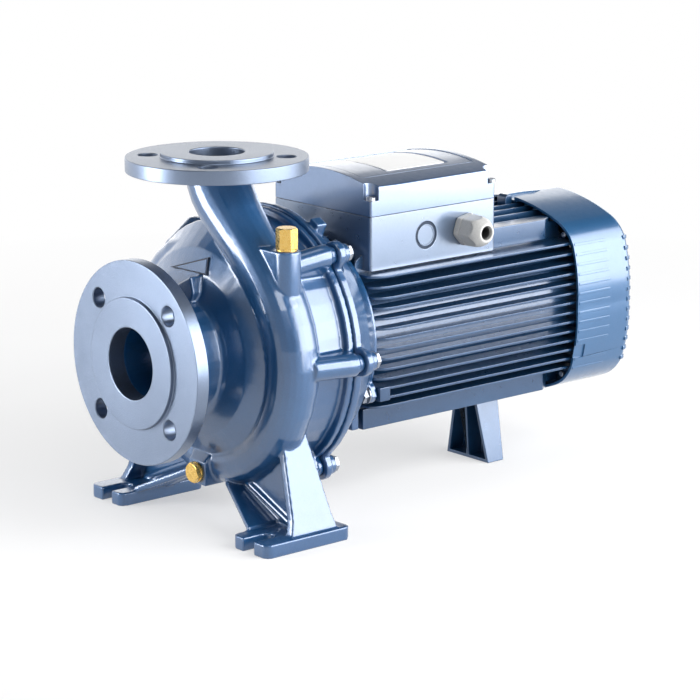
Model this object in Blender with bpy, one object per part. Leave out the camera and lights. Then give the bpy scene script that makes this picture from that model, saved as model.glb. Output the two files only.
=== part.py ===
"""Close-coupled centrifugal pump: a cast volute casing on two feet, bolted to a finned electric motor.

Metres, +Z up. The shaft runs along +X from the suction flange to the motor's fan. The origin lies on
the floor, midway along the pump and under the shaft.
"""

import math

import bmesh
import bpy
from mathutils import Vector

# Clearance between pieces that touch or fit
GAP = 0.0003

# Where the shaft and the two flange faces are
SHAFT_HEIGHT = 0.160
DISCHARGE_X = 0.100
DISCHARGE_RISE = 0.180

# Suction flange, nominal bore 65
SUCTION_BORE_R = 0.0325
SUCTION_FLANGE_R = 0.0925
SUCTION_FACE_R = 0.0595
SUCTION_HOLE_CIRCLE_R = 0.0725

# Discharge flange, nominal bore 50
DISCHARGE_BORE_R = 0.025
DISCHARGE_FLANGE_R = 0.0825
DISCHARGE_FACE_R = 0.051
DISCHARGE_HOLE_CIRCLE_R = 0.0625

# Both flanges
FACE_RISE = 0.004
FLANGE_RIM = 0.013
FLANGE_HOLE_R = 0.009
FLANGE_HOLES = 4

# Casing body
CASING_WALL = 0.0065
ARROW_RISE = 0.0018
NECK_R = 0.053
NECK_END_X = DISCHARGE_X - 0.040
WALL_ROOT_R = 0.058
WALL_ROOT_X = NECK_END_X + 0.004
CREASE_R = 0.0945
CREASE_X = DISCHARGE_X - 0.020
BARREL_R = 0.117
BARREL_START_X = DISCHARGE_X + 0.004
JOINT_FLANGE_R = 0.124
JOINT_FLANGE_THICK = 0.007
JOINT_X = DISCHARGE_X + 0.056

# Spiral volute, from just past the top, over the far side and the bottom, to the near side
VOLUTE_START_DEG = 25.0
VOLUTE_END_DEG = 270.0
VOLUTE_START_CENTRE_R = 0.093
VOLUTE_END_CENTRE_R = 0.1055
VOLUTE_START_TUBE_R = 0.0145
VOLUTE_END_TUBE_R = 0.0235

# Discharge neck, from the near side of the volute to the flange
NECK_MIDDLE_TUBE_R = 0.0245
NECK_TOP_TUBE_R = 0.029
NECK_THROAT_WALL = 0.0085
NECK_TOP_WALL = 0.0042
NECK_RISE_FROM_VOLUTE = 0.080
NECK_LEAN_AT_FLANGE = 0.002
NECK_DROP_AT_FLANGE = 0.043

# Bolts and lugs round the joint
LUG_ANGLES_DEG = (45.0, 90.0, 146.0, -45.0, -90.0, -146.0)
BOLT_CIRCLE_R = 0.130
CASING_LUG_WIDTH = 0.022
BRACKET_LUG_WIDTH = 0.025
COLLAR_R = 0.0085
LUG_RECESS = 0.007
LUG_START_X = BARREL_START_X + 0.0015
LUG_FULL_X = JOINT_X - 0.016
LUG_STEP = 0.003
BRACKET_LUG_THICK = 0.0145
BOLT_R = 0.004
BOLT_LENGTH = 0.034
BOLT_HEAD_FLATS = 0.013
BOLT_HEAD_THICK = 0.0055

# Feet
FOOT_HALF_SPAN = 0.1325
FOOT_BREADTH = 0.050
FOOT_START_X = DISCHARGE_X - 0.0525
FOOT_LENGTH = 0.0975
FOOT_THICK = 0.0125
SLOT_SPAN = 0.106
SLOT_R = 0.007
SLOT_LENGTH = 0.028
FOOT_WEB_THICK = 0.009
FOOT_CORNER_R = 0.007
OUTER_LEAN = 0.367
INNER_END_Y = 0.026

# Bosses and plugs
PRIMING_X = DISCHARGE_X
PRIMING_Y = -0.0978
PRIMING_BOSS_R = 0.0125
PRIMING_BOSS_TOP = SHAFT_HEIGHT + 0.1046
PRIMING_BOSS_HEIGHT = 0.0386
PRIMING_FOOT_HEIGHT = 0.036
PRIMING_WEB_LENGTH = 0.038
DRAIN_FACE_X = DISCHARGE_X - 0.027
DRAIN_HEIGHT = SHAFT_HEIGHT - 0.1125
DRAIN_BOSS_LENGTH = 0.024
DRAIN_BOSS_BREADTH = 0.024
PLUG_THREAD_R = 0.0066
PLUG_FLATS = 0.017
PRIMING_HEAD = 0.020
DRAIN_HEAD = 0.0065

# Impeller
IMPELLER_R = 0.080
EYE_RING_R = 0.038
EYE_START_X = WALL_ROOT_X - 0.0015
EYE_RING_LENGTH = 0.0115
SHROUD = 0.0032
OUTLET_WIDTH = 0.011
IMPELLER_BACK_X = DISCHARGE_X + 0.006
HUB_R = 0.017
HUB_END_X = IMPELLER_BACK_X + 0.014
VANES = 6
VANE_THICK = 0.0035
VANE_SWEEP_DEG = 95.0
RUNNING_GAP = 0.0008
IMPELLER_NOSE_DEPTH = 0.008

# Shaft
SHAFT_R = 0.014
SHAFT_END_R = 0.010
SHAFT_START_X = EYE_START_X + EYE_RING_LENGTH
NUT_FLATS = 0.024
NUT_CAP = 0.003

# Bracket between the casing and the motor
SPIGOT_R = 0.1037
SPIGOT_LENGTH = 0.030
BRACKET_R = 0.126
BRACKET_RIM = 0.008
BRACKET_END_R = 0.091

# Motor
BRACKET_LENGTH = 0.0565
MOTOR_LENGTH = 0.2875
MOTOR_START_X = JOINT_X + BRACKET_LENGTH
MOTOR_END_X = MOTOR_START_X + MOTOR_LENGTH
MOTOR_CORE_R = 0.082
MOTOR_HALF_WIDTH = 0.093
MOTOR_HALF_HEIGHT = 0.0915
SIDE_FINS = 14
SIDE_FIN_PITCH = 0.0094
TOP_FIN_FIRST = 0.009
TOP_FINS_PER_SIDE = 5
TOP_FIN_PITCH = 0.012
FIN_THICK = 0.0028
PANEL_HALF_WIDTH = 0.066
PANEL_HEIGHT = 0.0195
PANEL_TOP = 0.0845
PANEL_END_X = MOTOR_END_X - 0.052
PANEL_TAPER = 0.012
BOTTOM_DEPTH = 0.085

# Support foot under the motor
SUPPORT_X = MOTOR_END_X - 0.090
SUPPORT_LENGTH = 0.021
SUPPORT_HALF_WIDTH = 0.030
SUPPORT_TOP_HALF_WIDTH = 0.0135
SUPPORT_WALL = 0.0035
SUPPORT_LEAN = 0.005

# Terminal box
BOX_START_X = MOTOR_START_X + 0.0095
BOX_LENGTH = 0.156
BOX_HALF_WIDTH = 0.0692
BOX_BASE_HEIGHT = 0.0502
LID_SIDE_HEIGHT = 0.0263
LID_CAMBER = 0.011
BOX_BOTTOM = SHAFT_HEIGHT + 0.064
BOX_SEAM = BOX_BOTTOM + BOX_BASE_HEIGHT
LID_EDGE = BOX_SEAM + LID_SIDE_HEIGHT
LID_CROWN = LID_EDGE + LID_CAMBER
LID_NOTCH_R = 0.0075
LID_NOTCH_HEIGHT = LID_EDGE - 0.0115
LID_SCREW_R = 0.0042
LID_SCREW_HEAD = 0.0037
BOX_SEAT_R = MOTOR_CORE_R + 0.0045

# Cable gland and knock-out on the near side of the box
GLAND_X = BOX_START_X + 0.1167
ENTRY_HEIGHT = BOX_BOTTOM + 0.0257
GLAND_FLATS = 0.027
GLAND_NUT = 0.0065
GLAND_CAP_R = 0.0148
GLAND_CAP_FLATS = 0.0262
GLAND_LENGTH = 0.031
GLAND_HOLE_R = 0.0065
SEAL_BORE_R = 0.0050
KNOCKOUT_X = BOX_START_X + 0.0685
KNOCKOUT_R = 0.0130
KNOCKOUT_DISC_R = 0.0103
KNOCKOUT_DEPTH = 0.0025

# Fan cover and fan
COVER_LENGTH = 0.0765
COVER_START_X = MOTOR_END_X - 0.038
COVER_HALF_WIDTH = 0.0983
COVER_HALF_HEIGHT = 0.0975
COVER_WALL = 0.0025
COVER_REAR_X = COVER_START_X + COVER_LENGTH
COVER_EDGE = 0.009
COVER_SEAT_WIDTH = 0.014
RECESS_HALF_WIDTH = 0.0078
RECESS_LENGTH = 0.041
RECESS_DEPTH = 0.0040
LATCH_SIZE = 0.013
GRILLE_RIBS = 13
GRILLE_PITCH = 0.0100
GRILLE_RIB_THICK = 0.0042
GRILLE_RIB_RISE = 0.0015
PUMP_LENGTH = COVER_REAR_X + GRILLE_RIB_RISE
FAN_R = 0.074
FAN_START_X = MOTOR_END_X + 0.006
FAN_LENGTH = 0.020
FAN_DISC = 0.0025
FAN_BLADES = 8
FAN_BLADE_THICK = 0.0025
FAN_HUB_R = 0.018

# Small pieces on the motor
TOP_LUG_X = COVER_START_X - 0.010
TOP_LUG_LENGTH = 0.009
TOP_LUG_HALF_WIDTH = 0.006
TOP_LUG_TOP = SHAFT_HEIGHT + MOTOR_HALF_HEIGHT + 0.008
MOTOR_BOLT_Y = 0.083
MOTOR_BOLT_Z = SHAFT_HEIGHT - 0.046
MOTOR_BOLT_R = 0.0035
MOTOR_BOLT_HEAD = 0.007
MOTOR_BOLT_SEAT_X = MOTOR_START_X - 0.008
MOTOR_EAR_R = 0.0095
SPOT_FACE_R = 0.0102
SPOT_FACE_DEPTH = 0.024
TIE_BOSS_LENGTH = 0.013
TIE_BOSS_HEIGHT = 0.013
TIE_BOSS_REACH = 0.0935

# Facets
ROUND_STEPS = 48
SMALL_STEPS = 20
TUBE_STEPS = 24
CHANNEL_SIDES = 20
SPIRAL_STEPS = 24
NECK_STEPS = 14

DISCHARGE_TOP = SHAFT_HEIGHT + DISCHARGE_RISE


def clear_scene():
    for obj in list(bpy.data.objects):
        bpy.data.objects.remove(obj, do_unlink=True)


def material(name, colour, roughness, metallic):
    made = bpy.data.materials.new(name)
    made.use_nodes = True
    shader = made.node_tree.nodes["Principled BSDF"]
    shader.inputs["Base Color"].default_value = (*colour, 1.0)
    shader.inputs["Roughness"].default_value = roughness
    shader.inputs["Metallic"].default_value = metallic
    return made


def mesh_object(name, build):
    """A new object whose closed mesh is filled in by build(bm)."""
    bm = bmesh.new()
    build(bm)
    bmesh.ops.recalc_face_normals(bm, faces=bm.faces[:])
    mesh = bpy.data.meshes.new(name)
    bm.to_mesh(mesh)
    bm.free()
    obj = bpy.data.objects.new(name, mesh)
    bpy.context.scene.collection.objects.link(obj)
    return obj


def loft(name, rings, closed=False):
    """A solid through rings of as many points each. It is capped flat at both ends, or closed on itself."""

    def build(bm):
        rows = [[bm.verts.new(point) for point in ring] for ring in rings]
        following = rows[1:] + rows[:1] if closed else rows[1:]
        for first, second in zip(rows, following):
            count = len(first)
            for i in range(count):
                j = (i + 1) % count
                bm.faces.new([first[i], first[j], second[j], second[i]])
        if not closed:
            bm.faces.new(rows[0])
            bm.faces.new(rows[-1])

    return mesh_object(name, build)


def circle_points(centre, across, up, radius, steps):
    points = []
    for i in range(steps):
        angle = 2 * math.pi * i / steps
        points.append(centre + radius * (math.cos(angle) * across + math.sin(angle) * up))
    return points


def turned(name, profile, steps=ROUND_STEPS, bore_r=None):
    """A solid of revolution about the shaft's axis, from (x, radius) points, with a bore or without."""
    rings = []
    if bore_r is not None:
        profile = [(profile[0][0], bore_r), *profile, (profile[-1][0], bore_r)]
    half_step = math.pi / steps
    across = Vector((0, math.cos(half_step), math.sin(half_step)))
    up = Vector((0, -math.sin(half_step), math.cos(half_step)))
    for x, radius in profile:
        rings.append(circle_points(Vector((x, 0, SHAFT_HEIGHT)), across, up, radius, steps))
    return loft(name, rings, closed=bore_r is not None)


def rod(name, start, end, radius, steps=SMALL_STEPS, end_radius=None):
    """A round bar, or a cone, from start to end."""
    start = Vector(start)
    end = Vector(end)
    along = (end - start).normalized()
    across = along.orthogonal().normalized()
    up = along.cross(across)
    last = radius if end_radius is None else end_radius
    rings = [circle_points(start, across, up, radius, steps), circle_points(end, across, up, last, steps)]
    return loft(name, rings)


def hexagon(name, start, end, flats):
    """A hexagonal bar from start to end, measured across its flats."""
    return rod(name, start, end, flats / math.sqrt(3), 6)


def block(name, low, high):
    def ring(z):
        return [Vector((low[0], low[1], z)), Vector((high[0], low[1], z)),
                Vector((high[0], high[1], z)), Vector((low[0], high[1], z))]

    return loft(name, [ring(low[2]), ring(high[2])])


def joined(name, pieces):
    """Solids that don't touch, put in one mesh as one Boolean operand."""
    bm = bmesh.new()
    for piece in pieces:
        bm.from_mesh(piece.data)
        bpy.data.objects.remove(piece, do_unlink=True)
    mesh = bpy.data.meshes.new(name)
    bm.to_mesh(mesh)
    bm.free()
    obj = bpy.data.objects.new(name, mesh)
    bpy.context.scene.collection.objects.link(obj)
    return obj


def combine(target, operation, *others):
    """Joins, cuts or intersects the target with each other solid, which is then removed."""
    for other in others:
        modifier = target.modifiers.new(operation.title(), "BOOLEAN")
        modifier.operation = operation
        modifier.solver = "EXACT"
        modifier.object = other
        graph = bpy.context.evaluated_depsgraph_get()
        made = bpy.data.meshes.new_from_object(target.evaluated_get(graph))
        target.modifiers.clear()
        target.data = made
        bpy.data.objects.remove(other, do_unlink=True)
    return target


def finish(obj, name, surface, smooth_deg=35.0):
    """Names the piece, gives it its material and shades its round faces smooth."""
    obj.name = name
    obj.data.name = name
    obj.data.materials.clear()
    obj.data.materials.append(surface)
    for face in obj.data.polygons:
        face.material_index = 0
    obj.data.shade_smooth()
    obj.data.set_sharp_from_angle(angle=math.radians(smooth_deg))
    obj.location.x = -PUMP_LENGTH / 2
    return obj


def around(angle_deg, radius, x=0.0):
    """The point at this radius from the shaft. The angle runs from the top towards the near side, -Y."""
    angle = math.radians(angle_deg)
    return Vector((x, -radius * math.sin(angle), SHAFT_HEIGHT + radius * math.cos(angle)))


def outward(angle_deg):
    angle = math.radians(angle_deg)
    return Vector((0.0, -math.sin(angle), math.cos(angle)))


def blend(start, end, share):
    return start + (end - start) * share


def ease(share):
    share = min(max(share, 0.0), 1.0)
    return share * share * (3 - 2 * share)


def spiral_rings(thinner=0.0, sides=TUBE_STEPS, steps=SPIRAL_STEPS):
    """Round sections of the volute tube, each in a plane through the shaft, thinner by the wall inside."""
    rings = []
    for i in range(steps + 1):
        share = i / steps
        angle = -blend(VOLUTE_START_DEG, VOLUTE_END_DEG, share)
        growth = math.sqrt(share)
        centre_r = blend(VOLUTE_START_CENTRE_R, VOLUTE_END_CENTRE_R, growth)
        tube_r = blend(VOLUTE_START_TUBE_R, VOLUTE_END_TUBE_R, growth) - thinner
        centre = around(angle, centre_r, DISCHARGE_X)
        rings.append(circle_points(centre, Vector((1, 0, 0)), outward(angle), tube_r, sides))
    return rings


def neck_path(share):
    """The discharge neck's centre line: up from the near side, over to the shaft's plane, and up again."""
    flange_back = DISCHARGE_TOP - FACE_RISE - FLANGE_RIM
    start = Vector((DISCHARGE_X, -VOLUTE_END_CENTRE_R, SHAFT_HEIGHT))
    rise = start + Vector((0, 0, NECK_RISE_FROM_VOLUTE))
    end = Vector((DISCHARGE_X, 0, flange_back))
    drop = end - Vector((0, NECK_LEAN_AT_FLANGE, NECK_DROP_AT_FLANGE))
    rest = 1 - share
    return (start * rest ** 3 + rise * 3 * rest ** 2 * share
            + drop * 3 * rest * share ** 2 + end * share ** 3)


def neck_rings(walls=(0.0, 0.0, 0.0), sides=TUBE_STEPS, steps=NECK_STEPS):
    """Round sections of the neck, less the wall at its start, at its throat and at its top."""
    rings = []
    for i in range(steps + 1):
        share = i / steps
        step = 0.01
        ahead = neck_path(min(share + step, 1.0))
        behind = neck_path(max(share - step, 0.0))
        along = (ahead - behind).normalized()
        tube_r = blend(VOLUTE_END_TUBE_R, NECK_MIDDLE_TUBE_R, ease(share / 0.6))
        tube_r = blend(tube_r, NECK_TOP_TUBE_R, ease((share - 0.5) / 0.4))
        first, throat, last = walls
        tube_r -= blend(blend(first, throat, ease(share / 0.5)), last, ease((share - 0.5) / 0.5))
        across = Vector((1, 0, 0))
        rings.append(circle_points(neck_path(share), across, across.cross(along), tube_r, sides))
    return rings


def shifted(ring, offset):
    return [point + offset for point in ring]


def volute_and_neck():
    """The outside of the volute tube and of the discharge neck, as one sweep into the flange."""
    rings = spiral_rings() + neck_rings()[1:]
    return loft("volute", rings + [shifted(rings[-1], Vector((0, 0, FLANGE_RIM / 2)))])


def volute_channel():
    """The water's way through the volute and the neck, out through the discharge bore."""
    walls = (CASING_WALL, NECK_THROAT_WALL, NECK_TOP_WALL)
    rings = spiral_rings(CASING_WALL, CHANNEL_SIDES, SPIRAL_STEPS // 2 + 1)
    rings += neck_rings(walls, CHANNEL_SIDES, NECK_STEPS - 3)[1:-1]
    top = Vector((DISCHARGE_X, 0, DISCHARGE_TOP + 0.002))
    bore = circle_points(top, Vector((1, 0, 0)), Vector((0, -1, 0)), DISCHARGE_BORE_R, CHANNEL_SIDES)
    return loft("channel", rings + [bore])


def casing_body():
    """The turned body: suction flange, neck, front wall and the rear barrel with its joint flange."""
    rim_x = FACE_RISE + FLANGE_RIM
    fillet = 0.004
    profile = [
        (0.0, SUCTION_FACE_R),
        (FACE_RISE, SUCTION_FACE_R),
        (FACE_RISE, SUCTION_FLANGE_R),
        (rim_x, SUCTION_FLANGE_R),
        (rim_x, NECK_R + fillet),
        (rim_x + fillet, NECK_R),
        (NECK_END_X, NECK_R),
        (NECK_END_X, NECK_R - 0.0015),
        (WALL_ROOT_X, WALL_ROOT_R),
        (blend(WALL_ROOT_X, CREASE_X, 0.35), blend(WALL_ROOT_R, CREASE_R, 0.5)),
        (CREASE_X, CREASE_R),
        (BARREL_START_X, BARREL_R),
        (JOINT_X - JOINT_FLANGE_THICK, BARREL_R),
        (JOINT_X - JOINT_FLANGE_THICK, JOINT_FLANGE_R),
        (JOINT_X, JOINT_FLANGE_R),
    ]
    return turned("casing", profile)


def discharge_flange():
    rim_low = DISCHARGE_TOP - FACE_RISE - FLANGE_RIM
    rim_high = DISCHARGE_TOP - FACE_RISE
    across = Vector((1, 0, 0))
    up = Vector((0, 1, 0))
    levels = [(rim_low, DISCHARGE_FLANGE_R), (rim_high, DISCHARGE_FLANGE_R),
              (rim_high, DISCHARGE_FACE_R), (DISCHARGE_TOP, DISCHARGE_FACE_R)]
    rings = [circle_points(Vector((DISCHARGE_X, 0, z)), across, up, r, ROUND_STEPS) for z, r in levels]
    return loft("discharge_flange", rings)


def lug(name, angle_deg, stations, width):
    """A bolt lug: a round end with flat cheeks running in to the body, at each (x, radius to its centre)."""
    side = outward(angle_deg).cross(Vector((1, 0, 0)))
    rings = []
    for x, tip_r in stations:
        root = around(angle_deg, BARREL_R - 3 * CASING_WALL, x)
        tip = around(angle_deg, tip_r, x)
        outline = [root - side * width / 2, root + side * width / 2]
        for i in range(10):
            turn = math.pi * i / 9
            reach = math.cos(turn) * side + math.sin(turn) * outward(angle_deg)
            outline.append(tip + width / 2 * reach)
        rings.append(outline)
    return loft(name, rings)


def volute_outer_r(angle_deg):
    """How far the volute tube reaches from the shaft at this angle."""
    share = ((-angle_deg) % 360.0 - VOLUTE_START_DEG) / (VOLUTE_END_DEG - VOLUTE_START_DEG)
    growth = math.sqrt(min(max(share, 0.0), 1.0))
    return (blend(VOLUTE_START_CENTRE_R, VOLUTE_END_CENTRE_R, growth)
            + blend(VOLUTE_START_TUBE_R, VOLUTE_END_TUBE_R, growth))


def casing_lugs():
    """The casing's lugs: each one leaves the volute's side as a rib and rises to the joint."""
    pieces = []
    for angle in LUG_ANGLES_DEG:
        start_r = max(volute_outer_r(angle), BARREL_R) + LUG_STEP
        stations = [(LUG_START_X, start_r - CASING_LUG_WIDTH / 2), (LUG_FULL_X, BOLT_CIRCLE_R - 0.001),
                    (JOINT_X - LUG_RECESS, BOLT_CIRCLE_R)]
        pieces.append(lug("lug", angle, stations, CASING_LUG_WIDTH))
    return pieces


def lug_collars():
    """The narrow collars round the bolts, between each casing lug and the joint face."""
    collars = []
    for angle in LUG_ANGLES_DEG:
        start = around(angle, BOLT_CIRCLE_R, JOINT_X - LUG_RECESS - 0.002)
        end = around(angle, BOLT_CIRCLE_R, JOINT_X)
        collars.append(rod("collar", start, end, COLLAR_R))
    return collars


def bolt_holes(start_x, end_x):
    holes = []
    for angle in LUG_ANGLES_DEG:
        start = around(angle, BOLT_CIRCLE_R, start_x)
        end = around(angle, BOLT_CIRCLE_R, end_x)
        holes.append(rod("bolt_hole", start, end, BOLT_R + GAP))
    return joined("bolt_holes", holes)


def rounded_plate(name, low, high, radius, steps=4):
    """A flat plate whose upright corners are rounded."""
    outline = []
    left, right = low[0] + radius, high[0] - radius
    front, back = low[1] + radius, high[1] - radius
    for cx, cy, first in ((right, back, 0.0), (left, back, 90.0), (left, front, 180.0), (right, front, 270.0)):
        for i in range(steps + 1):
            turn = math.radians(first + 90.0 * i / steps)
            outline.append(Vector((cx + radius * math.cos(turn), cy + radius * math.sin(turn), 0)))
    return loft(name, [shifted(outline, Vector((0, 0, z))) for z in (low[2], high[2])])


def foot(side):
    """One foot: a slotted plate, an outer leaning flange, an inner one, and the web between them.

    side is -1 for the near foot and 1 for the far one.
    """
    outer_y = side * FOOT_HALF_SPAN
    inner_y = side * (FOOT_HALF_SPAN - FOOT_BREADTH)
    end_x = FOOT_START_X + FOOT_LENGTH
    plate = rounded_plate("foot_plate", (FOOT_START_X, min(outer_y, inner_y), 0.0),
                          (end_x, max(outer_y, inner_y), FOOT_THICK), FOOT_CORNER_R)

    low_z = FOOT_THICK - 0.003
    low_y = FOOT_HALF_SPAN - 0.003

    def lean(x, z):
        """A point on the outer flange's outer face, which leans in towards the casing."""
        return Vector((x, side * (low_y - OUTER_LEAN * (z - low_z)), z))

    front_top = SHAFT_HEIGHT - 0.066
    rear_top = SHAFT_HEIGHT - 0.049
    flare_z = FOOT_THICK + 0.013
    outline = [lean(DISCHARGE_X - 0.022, low_z), lean(DISCHARGE_X - 0.0155, flare_z),
               lean(DISCHARGE_X - 0.0065, front_top), lean(DISCHARGE_X + 0.019, rear_top),
               lean(DISCHARGE_X + 0.0295, flare_z), lean(DISCHARGE_X + 0.033, low_z)]
    outer = loft("outer_flange", [outline, shifted(outline, Vector((0, -side * FOOT_WEB_THICK, 0)))])

    web_x = DISCHARGE_X - 0.002
    top = lean(web_x, front_top + 0.004)
    casing_low = SHAFT_HEIGHT - BARREL_R
    rear_y = side * 0.070
    web_outline = [(side * 0.020, casing_low + 0.007), (side * 0.030, casing_low - 0.007), (inner_y, low_z),
                   (side * (low_y - 0.004), low_z), (top.y - side * 0.001, top.z), (rear_y, rear_top - 0.001)]
    web = loft("foot_web", [[Vector((x, y, z)) for y, z in web_outline]
                            for x in (web_x, web_x + FOOT_WEB_THICK)])
    bead = rod("bead", (web_x, side * 0.040, casing_low + 0.001), (web_x, side * 0.112, FOOT_THICK + 0.001),
               0.0032, 10)

    def rise(x, y):
        """A point on the inner flange's underside, which climbs from the plate to the volute."""
        share = (abs(inner_y) + 0.003 - y) / (abs(inner_y) - INNER_END_Y)
        return Vector((x, side * y, blend(low_z, casing_low - 0.0065, share)))

    wide = abs(inner_y) + 0.003
    outline = [rise(DISCHARGE_X - 0.036, wide), rise(DISCHARGE_X - 0.015, INNER_END_Y),
               rise(DISCHARGE_X + 0.012, INNER_END_Y), rise(DISCHARGE_X + 0.012, wide)]
    inner = loft("inner_flange", [outline, shifted(outline, Vector((0, 0, 0.0065)))])

    slot_y = side * SLOT_SPAN
    slot_end = FOOT_START_X + SLOT_LENGTH - SLOT_R
    slot_outline = [Vector((FOOT_START_X - 0.002, slot_y - SLOT_R, 0))]
    for i in range(9):
        turn = -math.pi / 2 + math.pi * i / 8
        slot_outline.append(Vector((slot_end + SLOT_R * math.cos(turn), slot_y + SLOT_R * math.sin(turn), 0)))
    slot_outline.append(Vector((FOOT_START_X - 0.002, slot_y + SLOT_R, 0)))
    slot = loft("slot", [shifted(slot_outline, Vector((0, 0, z))) for z in (-0.002, FOOT_THICK + 0.004)])
    return (web, outer, inner, bead, plate), slot


def priming_boss():
    """An upright boss on the neck's outer bend. Its flat top runs on into the neck."""
    across = Vector((1, 0, 0))
    along = Vector((0, 1, 0))
    centre = Vector((PRIMING_X, PRIMING_Y, 0))
    outline = [centre + PRIMING_BOSS_R * across + PRIMING_WEB_LENGTH * along,
               centre - PRIMING_BOSS_R * across + PRIMING_WEB_LENGTH * along]
    steps = 14
    for i in range(steps + 1):
        turn = math.pi * i / steps
        outline.append(centre - PRIMING_BOSS_R * (math.cos(turn) * across + math.sin(turn) * along))
    levels = (PRIMING_BOSS_TOP - PRIMING_BOSS_HEIGHT, PRIMING_BOSS_TOP)
    return loft("priming_boss", [shifted(outline, Vector((0, 0, z))) for z in levels])


def priming_boss_foot():
    """The lower end of the priming boss, rounded where it runs out on the tube."""
    top = PRIMING_BOSS_TOP - PRIMING_BOSS_HEIGHT + 0.0005
    low = top - PRIMING_FOOT_HEIGHT
    return rod("boss_foot", (PRIMING_X, PRIMING_Y - 0.001, low), (PRIMING_X, PRIMING_Y, top),
               PRIMING_BOSS_R * 0.9, TUBE_STEPS)


def drain_boss():
    """A square boss with a sloping top, under the front of the volute."""
    half = DRAIN_BOSS_BREADTH / 2
    low = DRAIN_HEIGHT - 0.0115
    high = DRAIN_HEIGHT + 0.0105
    slope = 0.0105
    end = DRAIN_FACE_X + DRAIN_BOSS_LENGTH
    rings = []
    for y in (-half, half):
        rings.append([Vector((DRAIN_FACE_X, y, low)), Vector((DRAIN_FACE_X, y, high)),
                      Vector((DRAIN_FACE_X + 0.009, y, high + slope)), Vector((end, y, high + slope)),
                      Vector((end, y, low))])
    return loft("drain_boss", rings)


def direction_arrow():
    """A raised triangle on the front wall that points the way the impeller turns."""
    tip = around(-14.0, 0.0795)
    upper = around(13.0, 0.0915)
    lower = around(17.5, 0.081)

    def on_wall(point):
        """The point moved along the shaft onto the front wall."""
        radius = math.hypot(point.y, point.z - SHAFT_HEIGHT)
        middle_x = blend(WALL_ROOT_X, CREASE_X, 0.35)
        middle_r = blend(WALL_ROOT_R, CREASE_R, 0.5)
        share = (radius - middle_r) / (CREASE_R - middle_r)
        return point + Vector((blend(middle_x, CREASE_X, share), 0, 0))

    outline = [on_wall(tip), on_wall(upper), on_wall(lower)]
    low = Vector((-ARROW_RISE, 0, 0))
    high = Vector((CASING_WALL / 2, 0, 0))
    return loft("arrow", [shifted(outline, low), shifted(outline, high)])


def gauge_boss():
    """The angular boss at the root of the suction neck, with one corner pointing outwards."""
    corners = [around(12.0, 0.0755), around(-4.0, 0.0640), around(-4.0, NECK_R - 0.004),
               around(18.0, NECK_R - 0.004), around(18.5, 0.0620)]
    ends = (NECK_END_X - 0.004, CREASE_X - 0.001)
    return loft("gauge_boss", [shifted(corners, Vector((x, 0, 0))) for x in ends])


def chamber():
    """The inside of the casing: suction bore, seat of the eye ring, impeller room and the open back."""
    wall = CASING_WALL
    profile = [
        (-0.002, SUCTION_BORE_R),
        (EYE_START_X - RUNNING_GAP, SUCTION_BORE_R),
        (EYE_START_X - RUNNING_GAP, EYE_RING_R + RUNNING_GAP),
        (WALL_ROOT_X + wall, EYE_RING_R + RUNNING_GAP),
        (WALL_ROOT_X + wall, WALL_ROOT_R),
        (CREASE_X + wall, CREASE_R - wall),
        (JOINT_X - SPIGOT_LENGTH - 0.003, CREASE_R - wall),
        (JOINT_X - SPIGOT_LENGTH - 0.003, SPIGOT_R + GAP),
        (JOINT_X + 0.002, SPIGOT_R + GAP),
    ]
    return turned("chamber", profile)


def flange_holes():
    holes = []
    for i in range(FLANGE_HOLES):
        angle = 45.0 + 360.0 * i / FLANGE_HOLES
        start = around(angle, SUCTION_HOLE_CIRCLE_R, -0.002)
        end = around(angle, SUCTION_HOLE_CIRCLE_R, FACE_RISE + FLANGE_RIM + 0.003)
        holes.append(rod("hole", start, end, FLANGE_HOLE_R))
        turn = math.radians(angle)
        place = Vector((DISCHARGE_X + DISCHARGE_HOLE_CIRCLE_R * math.cos(turn),
                        DISCHARGE_HOLE_CIRCLE_R * math.sin(turn), 0))
        low = DISCHARGE_TOP - FACE_RISE - FLANGE_RIM - 0.003
        holes.append(rod("hole", place + Vector((0, 0, low)), place + Vector((0, 0, DISCHARGE_TOP)),
                         FLANGE_HOLE_R))
    return joined("flange_holes", holes)


def volute_casing(surface):
    casing = casing_body()
    combine(casing, "UNION", volute_and_neck(), discharge_flange())
    combine(casing, "UNION", *casing_lugs(), *lug_collars())
    slots = []
    for side in (-1, 1):
        pieces, slot = foot(side)
        combine(casing, "UNION", *pieces)
        slots.append(slot)
    combine(casing, "UNION", priming_boss_foot(), priming_boss(), drain_boss())
    combine(casing, "UNION", direction_arrow(), gauge_boss())
    combine(casing, "DIFFERENCE", chamber(), volute_channel())
    combine(casing, "DIFFERENCE", flange_holes(), joined("slots", slots))
    bolt_start_x = JOINT_X + BRACKET_LUG_THICK - BOLT_LENGTH - 0.002
    combine(casing, "DIFFERENCE", bolt_holes(bolt_start_x, JOINT_X + 0.002))
    priming_hole = rod("priming_hole", (PRIMING_X, PRIMING_Y, PRIMING_BOSS_TOP - 0.020),
                       (PRIMING_X, PRIMING_Y, PRIMING_BOSS_TOP + 0.002), PLUG_THREAD_R + GAP)
    drain_hole = rod("drain_hole", (DRAIN_FACE_X - 0.002, 0, DRAIN_HEIGHT),
                     (DRAIN_FACE_X + 0.018, 0, DRAIN_HEIGHT), PLUG_THREAD_R + GAP)
    combine(casing, "DIFFERENCE", priming_hole, drain_hole)
    return finish(casing, "volute_casing", surface)


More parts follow.
